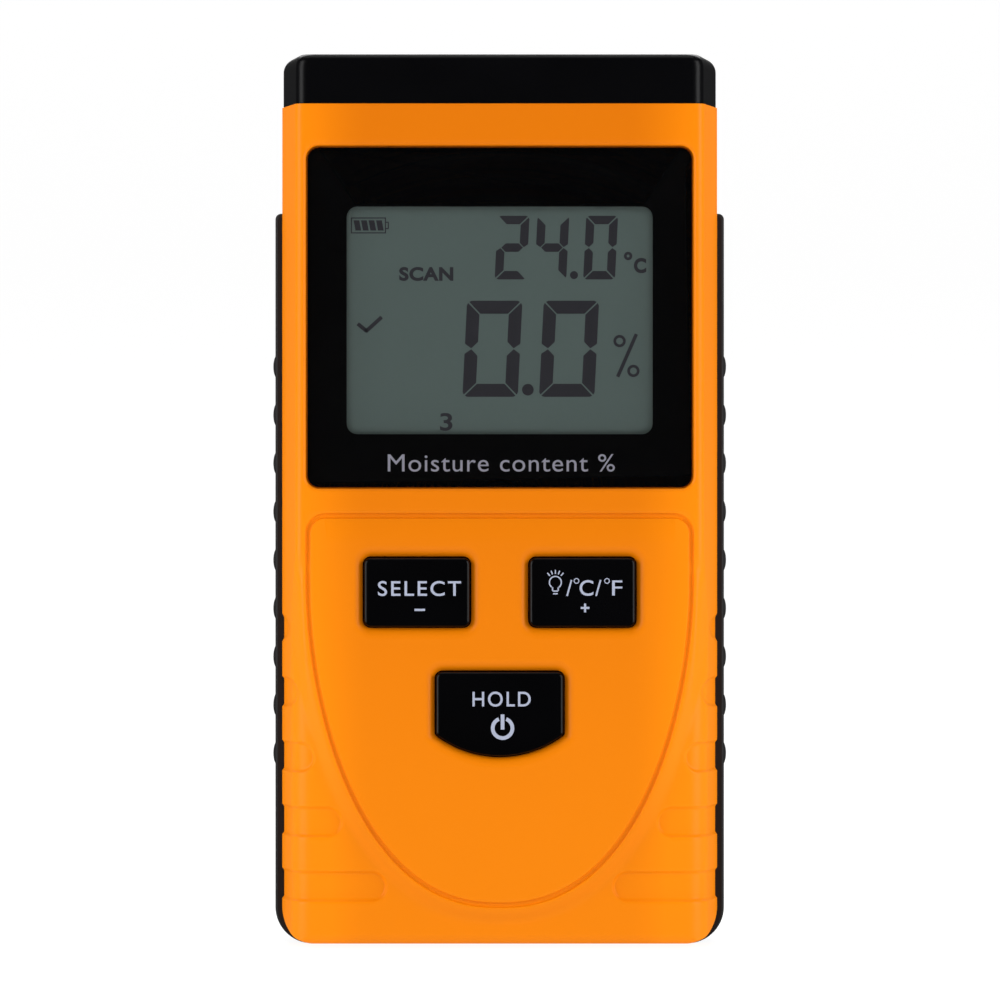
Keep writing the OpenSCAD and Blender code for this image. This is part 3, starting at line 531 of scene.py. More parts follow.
def metal(name, tint, roughness, size=0.5 * MM):
    """Plated metal with fine drawn lines and slight tarnish."""
    f = Finish(name)
    lines = f.noise(size, 3.0, (1.0, 1.0, 12.0))
    tarnish = f.noise(3 * MM, 2.0)
    return f.surface(Base_Color=f.blend(tarnish, tint, scaled(tint, 0.78)), Metallic=1.0,
                     Roughness=roughness + 0.18 * (lines - 0.5), Normal=f.bump(lines, 0.004 * MM))


def printed(name, tint):
    """Screen-printed ink with a slightly uneven edge to its gloss."""
    f = Finish(name)
    film = f.noise(0.4 * MM, 3.0)
    return f.surface(Base_Color=f.blend(0.3 * film, tint, scaled(tint, 0.8)), Roughness=0.42 + 0.15 * film,
                     Normal=f.bump(film, 0.002 * MM))


def segment_ink(s):
    """Dark segment of the display, a little uneven in tone."""
    f = Finish("segment_ink")
    film = f.noise(0.3 * MM, 2.0)
    return f.surface(Base_Color=f.blend(0.3 * film, s.segment, scaled(s.segment, 1.3)),
                     Roughness=0.45 + 0.1 * film)


def clear_lens():
    """Clear acrylic: see-through, with the gloss that grows towards grazing views."""
    f = Finish("clear_acrylic")
    smear = f.noise(12 * MM, 2.0)
    gloss = f.node("ShaderNodeBsdfPrincipled", {}, {
        "Base Color": (0.004, 0.004, 0.005, 1.0), "Roughness": 0.05 + 0.05 * smear})
    clear = f.node("ShaderNodeBsdfTransparent", {}, {})
    edge = f.node("ShaderNodeFresnel", {}, {"IOR": 1.45})
    mixed = f.node("ShaderNodeMixShader", {}, {0: 0.9 * edge + 0.01, 1: clear, 2: gloss})
    f.node("ShaderNodeOutputMaterial", {}, {"Surface": mixed})
    return f.material


def display_glass(s):
    """Idle liquid crystal: a grey-green sheet with a fine polariser grain, and painted shade that darkens it
    towards the window's edges, where the border's shadow falls.
    """
    f = Finish("display_glass")
    x, _, z = f.axes()
    middle = (s.window_low + s.window_high) / 2
    # Painted shade: the glass is darkened towards the window's sides, top and bottom, as the border's shadow.
    side = f.range(abs(x), s.window_half * 0.7, s.window_half)
    edge = side * 0.5 + f.range(abs(z - middle), 12 * MM, 18 * MM) * 0.5
    fine = f.noise(0.15 * MM, 2.0)
    tint = f.blend(edge * 0.35 + fine * 0.08, s.glass, scaled(s.glass, 0.8))
    return f.surface(Base_Color=tint, Roughness=0.32 + 0.06 * fine, Normal=f.bump(fine, 0.001 * MM),
                     Specular_IOR_Level=0.3)


def board_mask():
    """Green solder mask over copper: traces and pads show as lighter raised lines."""
    f = Finish("board_mask")
    x, _, z = f.axes()
    wander = f.noise(7 * MM, 1.0)
    traces = f.stripes(x + 3 * MM * wander, MM / 0.9, 0.28, 0.34)
    pads = 1 - f.stripes(z, MM / 0.26, 0.05, 0.1)
    copper = traces * f.range(wander, 0.42, 0.5) + pads * 0.2
    return f.surface(Base_Color=f.blend(copper, (0.006, 0.09, 0.03), (0.02, 0.19, 0.06)),
                     Roughness=0.35 + 0.1 * wander, Normal=f.bump(copper, 0.02 * MM))


def cell_wrap():
    """A cell's printed sleeve: a dark body, a copper end at its button, and shrink lines.
    The middle cell is turned over, so its height is mirrored about the middle of the bay."""
    f = Finish("cell_wrap")
    x, _, z = f.axes()
    middle = float(low("battery_cells")[2] + high("battery_cells")[2]) / 2
    turned = 1 - f.range(abs(x), 5.5 * MM, 5.7 * MM)
    z = z + turned * (middle - z) * 2.0
    wrap = f.noise(2 * MM, 2.0, (1.0, 1.0, 0.2))
    band = f.range(z, 43 * MM, 43.4 * MM)
    return f.surface(Base_Color=f.blend(band, (0.02, 0.021, 0.024), (0.55, 0.27, 0.1)),
                     Roughness=0.26 + 0.1 * wrap, Metallic=0.6 * band, Normal=f.bump(wrap, 0.01 * MM))


def sticker():
    """A rear label: pale film with a printed frame and rows of plain bars, and no lettering."""
    f = Finish("rear_sticker")
    x, _, z = f.axes()
    a, b = low("rear_label"), high("rear_label")
    half, middle, tall = b[0], (a[2] + b[2]) / 2, (b[2] - a[2]) / 2
    edge = (abs(x) - half).larger(abs(z - middle) - tall)
    line = f.range(edge, -1.2 * MM, -1.15 * MM) * (1 - f.range(edge, -0.9 * MM, -0.85 * MM))
    bars = 1 - f.stripes(z - middle, MM / 0.42, 0.12, 0.16)
    bars = bars * (1 - f.range(abs(x), half - 4 * MM, half - 3.9 * MM))
    bars = bars * (1 - f.range(abs(z - middle), tall - 2 * MM, tall - 1.9 * MM))
    film = f.noise(0.5 * MM, 2.0)
    ink = line + 0.55 * bars
    return f.surface(Base_Color=f.blend(ink, (0.55, 0.56, 0.57), (0.05, 0.05, 0.06)),
                     Roughness=0.38 + 0.08 * film, Normal=f.bump(film, 0.003 * MM))


def speckled(name, tint, spot, size, roughness):
    """A body with a fine speckle, for moulded chips, ceramic and foam."""
    f = Finish(name)
    dots = f.range(f.cells(size), 0.15, 0.5)
    return f.surface(Base_Color=f.blend(dots, spot, tint), Roughness=roughness + 0.1 * dots,
                     Normal=f.bump(dots, 0.01 * MM))


def striped():
    """Conductive rubber strip: black layers between pink insulating rubber."""
    f = Finish("layered_rubber")
    x, _, _ = f.axes()
    layers = f.stripes(x, 0.4 * MM, 0.2, 0.3)
    return f.surface(Base_Color=f.blend(layers, (0.55, 0.2, 0.22), (0.02, 0.02, 0.02)),
                     Roughness=0.6 + 0.1 * layers)


# ---------------------------------------------------------------- front shell

def keypad_distance(s, x, z):
    """Distance outwards from the groove's path, as that to the nearest of its closely spaced points. It is
    below zero inside the path."""
    path = keypad_outline(s, 0.0, 300)
    path = path[path[:, 1] < s.keypad_top - s.keypad_r]
    near = np.full(x.shape, np.inf)
    for part in np.array_split(path, 20):
        gap = np.hypot(x[..., None] - part[:, 0], z[..., None] - part[:, 1]).min(axis=-1)
        near = np.minimum(near, gap)
    fall = ((s.shoulder - z) / (s.shoulder - s.keypad_low)).clip(0)
    outside = (np.abs(x) / s.keypad_half) ** KEYPAD_ACROSS + fall ** KEYPAD_DOWN > 1
    return np.where(outside, near, -near)


def shell_depth(s, x, z):
    """Depth y of the front shell's skin. The face is flat and drops on a smooth step outside the keypad's
    border. The side is a plane that leans out towards the parting line. A circle touches both: its radius is
    the ridge's on the face and a larger one on the flanks. The ridge's radius also rounds the lower edge, by
    the distance from the outline."""
    out = keypad_distance(s, x, z)
    t = ((out - s.flank_in) / (s.flank_out - s.flank_in)).clip(0, 1)
    fade = ((s.shoulder + 5 * MM - z) / (9 * MM)).clip(0, 1)
    drop = s.flank_drop * ease(t) * ease(fade)
    face = FACE_Y + drop
    lean = DEPTH / s.side_slope
    edge = SIDE_X - s.side_slope + drop / lean
    tilt = math.atan(lean)
    radius = s.ridge_r + (s.flank_ridge_r - s.ridge_r) * drop / s.flank_drop
    start = edge - radius * math.tan(tilt / 2)
    along = np.abs(x) - start
    round_y = face + radius - np.sqrt((radius ** 2 - np.minimum(along.clip(0), radius) ** 2).clip(0))
    slope_y = face + (np.abs(x) - edge) * lean
    side = np.where(along < 0, face, np.where(along < radius * math.sin(tilt), round_y, slope_y))
    cx, cz = SIDE_X - s.corner_r, LIFT_Z + s.corner_r
    in_corner = (np.abs(x) > cx) & (z < cz)
    inside = np.where(in_corner, s.corner_r - np.hypot(np.abs(x) - cx, z - cz), z - LIFT_Z)
    rim = face + s.ridge_r - np.sqrt((s.ridge_r ** 2 - (s.ridge_r - inside).clip(0) ** 2).clip(0))
    return np.maximum(side, rim)


def half_width(s, z):
    """Half-width of the front shell's outline at height z, narrowed by the round lower corners."""
    fall = (LIFT_Z + s.corner_r - z).clip(0, s.corner_r)
    return SIDE_X - s.corner_r + np.sqrt(s.corner_r ** 2 - fall ** 2)


def shell_block(s):
    """The front shell as a solid block: its skin is a grid over x and z, closed by walls back to the parting
    line."""
    ridge = SIDE_X - s.side_slope - 1.5 * MM
    right = np.concatenate([np.arange(0, ridge, 0.5 * MM), np.linspace(ridge, SIDE_X, 26)])
    u = np.concatenate([-right[:0:-1], right]) / SIDE_X
    corner_z = LIFT_Z + s.corner_r * (1 - np.cos(quarter(22)))
    z = np.concatenate([corner_z, np.arange(corner_z[-1], s.shoulder + 6 * MM, 0.5 * MM)[1:],
                        np.linspace(s.shoulder + 6 * MM, SEAM_Z, 14)])
    x = u[None, :] * half_width(s, z)[:, None]
    zz = np.repeat(z[:, None], len(u), axis=1)
    y = np.minimum(shell_depth(s, x, zz), PART_Y)
    skin = np.stack([x, y, zz], axis=-1)
    flat = skin.copy()
    flat[..., 1] = PART_Y
    skin = np.concatenate([flat[:, :1], skin, flat[:, -1:]], axis=1)
    back = np.concatenate([flat[:, :1], flat, flat[:, -1:]], axis=1)
    grid = np.concatenate([back[:1], skin, back[-1:]], axis=0)
    rows, columns = grid.shape[:2]
    faces = strip(rows, columns, closed_columns=False)
    return solid("front_skin", grid.reshape(-1, 3), faces + [rim_of(rows, columns).tolist()])


def lip(outline_at, width, depth, floor, steps):
    """Cutter of a pocket whose edge flares into the face: at a distance k of the lip's width from the wall
    the lip is depth * (1 - k) ^ power deep."""
    past = 1.04
    k = np.linspace(past, 0, steps + 1)
    down = depth * np.abs(1 - k) ** LIP_POWER * np.sign(1 - k)
    down[0] = -0.02 * MM
    rings = [front(outline_at(width * past), FACE_Y - OVERLAP)]
    rings += [front(outline_at(width * a), FACE_Y + b) for a, b in zip(k, down)]
    rings += [front(outline_at(0.0), FACE_Y + floor)]
    return loft("pocket", rings)


def groove_cutter(s):
    """Cutter of the keypad's groove: a round-bottomed channel with flared lips, carried round the path."""
    half, deep = s.groove_w / 2, s.groove_d
    t = np.linspace(-1, 1, 13)
    across = np.sign(t) * np.abs(t) ** 0.6 * half
    depth = deep * np.sqrt((1 - np.abs(t) ** 5).clip(0)) * 0.8 + 0.2 * deep
    flare = half + 0.16 * MM
    lips = [(-flare, -0.02 * MM), (-half - 0.07 * MM, 0.03 * MM), (-half - 0.01 * MM, 0.2 * deep)]
    section = lips + list(zip(across[1:-1], depth[1:-1])) + [(-a, b) for a, b in lips[::-1]]
    section += [(flare, -OVERLAP), (-flare, -OVERLAP)]
    return hoop("groove", [front(keypad_outline(s, a), FACE_Y + b) for a, b in section])


def recess_cutter(s, z, sign):
    """Cutter of a finger recess. Seen from the front it has a round inner end that follows the keypad's
    curve, and it runs on over the ridge and down the side. It lies between two height functions on one grid:
    the skin moved outwards, and the skin sunk along its normal by the depth times a smooth step of the
    distance from the recess's edge."""
    def side_at(height):
        """Half-width of the groove's path at a height."""
        fall = max(0.0, (s.shoulder - height) / (s.shoulder - s.keypad_low))
        return s.keypad_half * max(0.0, 1 - fall ** KEYPAD_DOWN) ** (1 / KEYPAD_ACROSS)
    step = 0.1 * MM
    slope = (side_at(z + step) - side_at(z - step)) / (2 * step)
    r, soft = s.finger_h / 2, 0.6 * MM
    middle = side_at(z) + s.finger_land * math.sqrt(1 + slope ** 2) + r
    reach = r + 0.2 * MM
    tip = middle - reach * np.cos(quarter(20))
    end = SIDE_X + 0.4 * MM
    x = np.concatenate([tip, np.linspace(middle, end, 40)[1:]]) if middle < end else tip
    half = np.sqrt((reach ** 2 - (middle - x).clip(0) ** 2).clip((0.02 * MM) ** 2))
    v = np.sin(np.linspace(-math.pi / 2, math.pi / 2, 33))
    xx = np.repeat(x[:, None], len(v), axis=1)
    zz = z + half[:, None] * v
    inside = reach - np.hypot((middle - xx).clip(0), zz - z)
    k = (inside / soft).clip(0, 1)
    skin = shell_depth(s, xx, zz)
    steep = np.gradient(skin[:, 16], x)[:, None]
    on_side = (np.abs(steep) / 4).clip(0, 1)
    deep = s.finger_d * (1 - 0.35 * on_side)
    sunk = (deep * ease(k) - 0.02 * MM) * np.sqrt(1 + steep ** 2)
    grids = [np.stack([sign * xx, skin + d, zz], axis=-1) for d in (sunk, -1.2 * MM - 3 * MM * on_side)]
    rows, columns = xx.shape
    quads = np.array(strip(rows, columns, closed_columns=False))
    total, rim = rows * columns, rim_of(rows, columns)
    walls = np.column_stack([rim, np.roll(rim, -1), np.roll(rim, -1) + total, rim + total])
    return solid("recess", np.vstack([g.reshape(-1, 3) for g in grids]),
                 quads.tolist() + (quads[:, ::-1] + total).tolist() + walls.tolist())


def cavity_cutters(s):
    """Cutters of the space inside the front shell, which leave its walls, face and display ledge."""
    d, k = bpy.context.scene.meter_display, s.wall
    lens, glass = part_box("display_lens"), low("lcd_front_glass")[1]
    face = SIDE_X - s.side_slope - k
    bottom, inner = LIFT_Z + k, FACE_Y + s.face_t
    main = [front(rectangle(-face, face, bottom, SEAM_Z + k, 3 * MM), glass),
            front(rectangle(-SIDE_X + k, SIDE_X - k, bottom, SEAM_Z + k, 3 * MM), PART_Y + k)]
    lower = rectangle(-face + 0.2 * MM, face - 0.2 * MM, bottom + 0.1 * MM, lens[0].z - k, 2 * MM)
    upper = rectangle(-face + 0.2 * MM, face - 0.2 * MM, lens[1].z + k, SEAM_Z + k, 2 * MM)
    window = rectangle(-d.window_half - 0.5 * MM, d.window_half + 0.5 * MM,
                       d.window_low - 0.5 * MM, d.window_high + 0.5 * MM, 1.5 * MM)
    cut = [loft("cavity", main)]
    cut += [loft("cavity", [front(o, inner), front(o, glass + 0.1 * MM)]) for o in (lower, upper)]
    cut.append(loft("window", [front(window, FACE_Y), front(window, glass + 1 * MM)]))
    return cut


class METER_OT_front_shell(bpy.types.Operator):
    """Front shell: flat face, leaning sides, grooved keypad border, recesses, lens pocket and key wells"""
    bl_idname = "meter.front_shell"
    bl_label = "Front shell"

    def execute(self, context):
        s, keys, display = context.scene.meter_shell, context.scene.meter_keys, context.scene.meter_display
        clear = 0.12 * MM

        def pocket(out):
            """Edge of the lens's pocket, moved outwards."""
            return around("lens_border", out + display.lens_gap + clear, display.lens_r + clear + out)
        body = shell_block(s)
        cut = [groove_cutter(s), lip(pocket, 0.6 * MM, 0.4 * MM, high("lens_border")[1] - FACE_Y, 8)]
        through = s.face_t + OVERLAP
        cut += [lip(lambda out, n=node: key_outline(n, keys, out), keys.dish, keys.dish_d, through, 9)
                for node in KEYS]
        for i in range(s.finger_count):
            cut += [recess_cutter(s, s.finger_low + i * s.finger_pitch, sign) for sign in (1, -1)]
        combine(body, "DIFFERENCE", cut + cavity_cutters(s))
        place(smooth(body, 40), "case", orange_plastic(s), ["front_shell"])
        return {"FINISHED"}


# ---------------------------------------------------------------- end cap, grips and back

def cap_plan(side_in, edge_in, radius, whole=1.0):
    """The end cap seen from above, pulled in at its sides and at its front and back. The front's lean is
    given as a share of the shell's."""
    a, b = low("end_cap"), high("end_cap")
    side, face = b[0] - side_in, b[0] - side_in - bpy.context.scene.meter_shell.side_slope * whole
    y0, y1 = a[1] + edge_in, b[1] - edge_in
    path = [(-face, y0), (face, y0), (side, PART_Y), (side, y1), (-side, y1), (-side, PART_Y)]
    return rounded(path, [radius] * 2 + [3 * MM] * 4, 8)


class METER_OT_end_cap(bpy.types.Operator):
    """End cap: a deep cap with quarter-round upper corners and rounded front and rear edges"""
    bl_idname = "meter.end_cap"
    bl_label = "End cap"

    def execute(self, context):
        s = context.scene.meter_body
        top, r, e, ridge = high("end_cap")[2], s.cap_r, s.cap_edge, s.cap_ridge
        foot = SEAM_Z + 0.02 * MM
        rings = [above(cap_plan(4 * MM, 3.2 * MM, 1 * MM), z) for z in (low("end_cap")[2], foot)]
        rings += [above(cap_plan(step, step, ridge), z) for step, z in
                  ((0.14 * MM, foot), (0.04 * MM, SEAM_Z + 0.07 * MM), (0.0, SEAM_Z + 0.2 * MM))]
        for a in quarter(20):
            z, across = top - r + r * math.sin(a), 1 - math.cos(a)
            over = max(0.0, z - (top - e))
            inset = e - math.sqrt(max(0.0, e ** 2 - over ** 2))
            rings.append(above(cap_plan(r * across, inset, ridge, 1 - 0.5 * across), z))
        finish = moulded("cap_plastic", (0.0008, 0.0008, 0.0012), (0.0013, 0.0013, 0.0018), 0.32,
                         0.22 * MM, 0.003 * MM, 0.12)
        place(smooth(loft("end_cap_skin", rings), 40), "case", finish, ["end_cap"])
        return {"FINISHED"}


def grip_outline(s, z0, z1, reach, sign):
    """A grip seen from the front at one depth: outer corner and inner corner are arcs about one centre."""
    side = high("right_grip")[0] - 0.5 * MM - reach
    x, z = side - (s.grip_r - reach), z0 + s.grip_r
    outer_r, inner_r = s.grip_r - reach, s.grip_inner_r
    t = quarter(16)
    outer = np.column_stack([x + outer_r * np.sin(t), z - outer_r * np.cos(t)])
    top = corner((side, z1 - 3 * MM), (side, z1 - reach), (x, z1 - reach), 0.9 * MM, 8)
    wall = side - s.grip_t + reach
    back = np.column_stack([x + inner_r * np.cos(t), z - inner_r * np.sin(t)])
    outline = np.vstack([[(x, z0 + reach)], outer, top, [(wall, z1 - reach)], back])
    return outline * (sign, 1)


class METER_OT_grips(bpy.types.Operator):
    """Grips: rubber side strips that turn under the lower corners, with a row of half-round ribs"""
    bl_idname = "meter.grips"
    bl_label = "Grips"

    def execute(self, context):
        s = context.scene.meter_body
        finish = rubber(s)
        a, b, e = low("right_grip"), high("right_grip"), s.grip_edge
        edges = [(a[1], e, t) for t in quarter(7)] + [(b[1], -e, t) for t in quarter(7)[::-1]]
        for sign, node in ((1, "right_grip"), (-1, "left_grip")):
            rings = [front(grip_outline(s, a[2], b[2], e * (1 - math.sin(t)), sign),
                           y + inwards * (1 - math.cos(t))) for y, inwards, t in edges]
            piece = loft(node + "_skin", rings)
            ribs = [self.rib(b[0], a[1] + 1 * MM, b[1] - 1 * MM, s.rib_z + i * s.rib_pitch, s.rib_h / 2, sign)
                    for i in range(s.rib_count)]
            combine(piece, "UNION", ribs)
            place(smooth(piece, 45), "case", finish, [node])
        return {"FINISHED"}

    @staticmethod
    def rib(outer, y0, y1, z, half, sign):
        """One rib: a pillow whose height over the grip is that of a flat ellipse across z, eased at both ends
        in y."""
        base = outer - 1.0 * MM
        t = np.linspace(math.pi, 0, 17)
        rings = []
        for u in np.linspace(0, math.pi, 17):
            y = (y0 + y1) / 2 - (y1 - y0) / 2 * math.cos(u)
            rise = max(0.02, math.sin(u)) ** 0.25
            x = base + (outer - base) * rise * np.sin(t).clip(0) ** 0.8
            zz = z - half * np.cos(t) * max(0.3, math.sin(u)) ** 0.25
            x = np.append(x, [base - 0.4 * MM] * 2)
            zz = np.append(zz, [zz[-1], zz[0]])
            rings.append(np.column_stack([sign * x, np.full(len(x), y), zz]))
        return loft("rib", rings)


def softened(node, width, segments, join_flat):
    """A copy of a node with doubles merged and its sharp edges rounded. Its flat faces are joined first,
    unless a flat face runs round an opening."""
    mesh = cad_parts[node].data.copy()
    made = bpy.data.objects.new(node + "_skin", mesh)
    bpy.context.scene.collection.objects.link(made)
    work = bmesh.new()
    work.from_mesh(mesh)
    bmesh.ops.remove_doubles(work, verts=work.verts, dist=0.002 * MM)
    if join_flat:
        bmesh.ops.dissolve_limit(work, angle_limit=math.radians(0.5), verts=work.verts, edges=work.edges)
    work.to_mesh(mesh)
    work.free()
    for name in ("custom_normal", "sharp_edge", "sharp_face"):
        if name in mesh.attributes:
            mesh.attributes.remove(mesh.attributes[name])
    bevel = made.modifiers.new("edges", "BEVEL")
    bevel.width, bevel.segments = width, segments
    bevel.limit_method, bevel.angle_limit = "ANGLE", math.radians(40)
    bevel.use_clamp_overlap, bevel.harden_normals = True, False
    return smooth(made, 40)


class METER_OT_rear_parts(bpy.types.Operator):
    """Back shell, battery door, sensor cover and label, with their moulded edges softened"""
    bl_idname = "meter.rear_parts"
    bl_label = "Rear parts"

    def execute(self, context):
        s = context.scene.meter_body
        dark = scaled(s.black, 0.7)
        shell = moulded("back_shell_plastic", s.black, dark, 0.42, 0.4 * MM, 0.012 * MM)
        door = moulded("door_plastic", s.black, dark, 0.44, 0.4 * MM, 0.012 * MM)
        cover = moulded("sensor_cover_plastic", (0.012, 0.012, 0.013), (0.007, 0.007, 0.008), 0.24,
                        1 * MM, 0.004 * MM)
        for node, body, slot, finish, width, segments, join_flat in (
                ("back_shell", "case", "black_shell", shell, s.edge, 2, False),
                ("battery_door", "battery_door", "door", door, s.edge, 2, True),
                ("sensor_cover", "case", "sensor_cover", cover, 0.4 * MM, 4, True),
                ("rear_label", "case", "label", sticker(), 0.03 * MM, 1, True)):
            place(softened(node, width, segments, join_flat), body, finish, [node])
        return {"FINISHED"}


# ---------------------------------------------------------------- keys and their print

def key_cap(node, s):
    """A key as a loft: flange behind the face, straight body, then a top whose edge is a quarter ellipse."""
    top, bevel_y, body = low(node)[1], 0.55 * MM, -s.gap
    flange_y = FACE_Y + bpy.context.scene.meter_shell.face_t + 0.1 * MM
    levels = [(s.flange, flange_y + s.flange_t), (s.flange, flange_y), (body, flange_y)]
    levels += [(body - s.bevel * (1 - math.cos(t)), top + bevel_y * (1 - math.sin(t))) for t in quarter(9)]
    levels.append((body - s.bevel - 1.2 * MM, top + 0.03 * MM))
    return smooth(loft(node + "_cap", [front(key_outline(node, s, out), y) for out, y in levels]), 50)


def words(text, tall, wide, x, z, y, thick, spacing=1.0, bold=0.0):
    """Plain sans lettering as a thin mesh on a surface that faces the front, centred at x and z and stretched
    to its height and width."""
    data = bpy.data.curves.new("words", "FONT")
    data.body, data.size, data.space_character = text, tall, spacing
    data.align_x, data.align_y = "CENTER", "CENTER"
    data.offset, data.extrude = bold, thick / 2
    made = bpy.data.objects.new("words", data)
    bpy.context.scene.collection.objects.link(made)
    bpy.context.view_layer.update()
    mesh = bpy.data.meshes.new_from_object(made.evaluated_get(bpy.context.evaluated_depsgraph_get()))
    bpy.data.objects.remove(made)
    points = np.zeros(len(mesh.vertices) * 3, np.float32)
    mesh.vertices.foreach_get("co", points)
    points = points.reshape(-1, 3)
    points = points - (points.min(0) + points.max(0)) / 2
    points[:, 0] *= wide / np.ptp(points[:, 0])
    points[:, 1] *= tall / np.ptp(points[:, 1])
    placed = np.column_stack([points[:, 0] + x, y - thick / 2 - points[:, 2], points[:, 1] + z])
    mesh.vertices.foreach_set("co", placed.astype(np.float32).ravel())
    mesh.update()
    piece = bpy.data.objects.new("words", mesh)
    bpy.context.scene.collection.objects.link(piece)
    return piece


def flat_print(shapes, y, thick):
    """Printed shapes as thin plates: each closed outline is extruded forwards from the surface at depth y."""
    points, faces, start = [], [], 0
    for shape in shapes:
        n = len(shape)
        points += [front(np.asarray(shape, float), y), front(np.asarray(shape, float), y - thick)]
        faces += [[start + i for i in range(n)], [start + n + i for i in range(n)][::-1]]
        faces += (np.array(strip(2, n)) + start).tolist()
        start += 2 * n
    return solid("marks", np.vstack(points), faces)


def circle(x, z, radius, angles):
    """Points of a circle at these angles."""
    return np.column_stack([x + radius * np.cos(angles), z + radius * np.sin(angles)])


def ring(x, z, outer, inner, first, last):
    """An arc of a ring as a closed outline: out along the outer circle and back along the inner one."""
    a = np.radians(np.linspace(first, last, 40))
    return np.vstack([circle(x, z, outer, a), circle(x, z, inner, a[::-1])])


def annulus(x, z, outer, inner, y, thick):
    """A closed ring as a thin plate: four circles round one centre, joined into a hoop."""
    a = np.linspace(0, 2 * math.pi, 41)[:-1]
    return hoop("ring", [front(circle(x, z, r, a), d) for r, d in
                         ((outer, y), (outer, y - thick), (inner, y - thick), (inner, y))])


def bar(a, b, width):
    """A straight stroke from a to b."""
    a, b = np.array(a, float), np.array(b, float)
    along = (b - a) / np.linalg.norm(b - a)
    side = np.array([-along[1], along[0]]) * width / 2
    return np.array([a - side, b - side, b + side, a + side])


def strokes(x, z, *lines):
    """Straight strokes. Each is given by its start, its end and its width, in millimetres from x and z."""
    return [bar((x + x0 * MM, z + z0 * MM), (x + x1 * MM, z + z1 * MM), wide * MM)
            for x0, z0, x1, z1, wide in lines]


def join(name, pieces):
    """Joins pieces into a new one."""
    work = bmesh.new()
    for piece in pieces:
        work.from_mesh(piece.data)
        bpy.data.meshes.remove(piece.data)
    mesh = bpy.data.meshes.new(name)
    work.to_mesh(mesh)
    work.free()
    made = bpy.data.objects.new(name, mesh)
    bpy.context.scene.collection.objects.link(made)
    return made


class METER_OT_keys(bpy.types.Operator):
    """Three glossy keys and the generic symbols printed on them"""
    bl_idname = "meter.keys"
    bl_label = "Keys"

    def execute(self, context):
        s, thick = context.scene.meter_keys, 0.02 * MM
        finish = moulded("key_plastic", s.black, scaled(s.black, 1.6), 0.26, 0.5 * MM, 0.002 * MM, 0.12)
        ink = printed("key_ink", s.legend)
        for node, marks in zip(KEYS, (self.select, self.light, self.hold)):
            place(key_cap(node, s), node, finish, [node])
            middle = (low(node) + high(node)) / 2
            y = low(node)[1] + 0.02 * MM
            place(join(node + "_print", marks(middle[0], middle[2], y, thick)), node, ink)
        return {"FINISHED"}

    @staticmethod
    def select(x, z, y, thick):
        """The word SELECT over a minus sign."""
        return [words("SELECT", 2.35 * MM, 13.0 * MM, x + 0.42 * MM, z + 0.59 * MM, y, thick, 1.18, BOLD),
                flat_print(strokes(x, z, (-0.37, -2.75, 1.27, -2.75, 0.34)), y, thick)]

    @staticmethod
    def light(x, z, y, thick):
        """A lamp and the two units of temperature, parted by strokes, over a plus sign."""
        lamp_x, lamp_z, middle = x - 4.24 * MM, z + 1.55 * MM, z + 0.68 * MM
        rays = np.radians([50, 70, 90, 110, 130])
        shapes = [bar(a, b, 0.19 * MM) for a, b in zip(circle(lamp_x, lamp_z, 1.32 * MM, rays),
                                                       circle(lamp_x, lamp_z, 1.95 * MM, rays))]
        shapes.append(ring(lamp_x, lamp_z, 1.03 * MM, 0.84 * MM, -62, 242))
        shapes += strokes(lamp_x, lamp_z, (-0.42, -1.36, 0.42, -1.36, 0.2), (-0.36, -1.78, 0.36, -1.78, 0.2),
                          (-0.44, -0.8, -0.44, -1.3, 0.2), (0.44, -0.8, 0.44, -1.3, 0.2))
        shapes += strokes(x, middle, (-2.42, -1.25, -1.72, 1.25, 0.26), (2.12, -1.25, 2.82, 1.25, 0.26))
        shapes += strokes(x, z - 2.44 * MM, (-0.28, 0, 1.08, 0, 0.32), (0.4, -0.68, 0.4, -0.16, 0.32),
                          (0.4, 0.16, 0.4, 0.68, 0.32))
        degrees = [annulus(x + at * MM, middle + 1.1 * MM, 0.44 * MM, 0.3 * MM, y, thick)
                   for at in (-0.94, 3.83)]
        return [flat_print(shapes, y, thick), *degrees,
                words("C", 2.45 * MM, 2.15 * MM, x + 0.62 * MM, middle, y, thick, 1.0, BOLD),
                words("F", 2.35 * MM, 1.6 * MM, x + 5.42 * MM, middle, y, thick)]

    @staticmethod
    def hold(x, z, y, thick):
        """The word HOLD over a power sign."""
        power = (x + 0.45 * MM, z - 2.2 * MM)
        sign = [ring(*power, 1.83 * MM, 1.25 * MM, 112, 428), *strokes(*power, (0, -0.2, 0, 2.15, 0.58))]
        return [words("HOLD", 2.35 * MM, 9.1 * MM, x + 0.3 * MM, z + 2.35 * MM, y, thick, 1.18, BOLD),
                flat_print(sign, y, thick)]


# ---------------------------------------------------------------- display

SEGMENTS = {"0": "abcdef", "2": "abged", "4": "fgbc"}


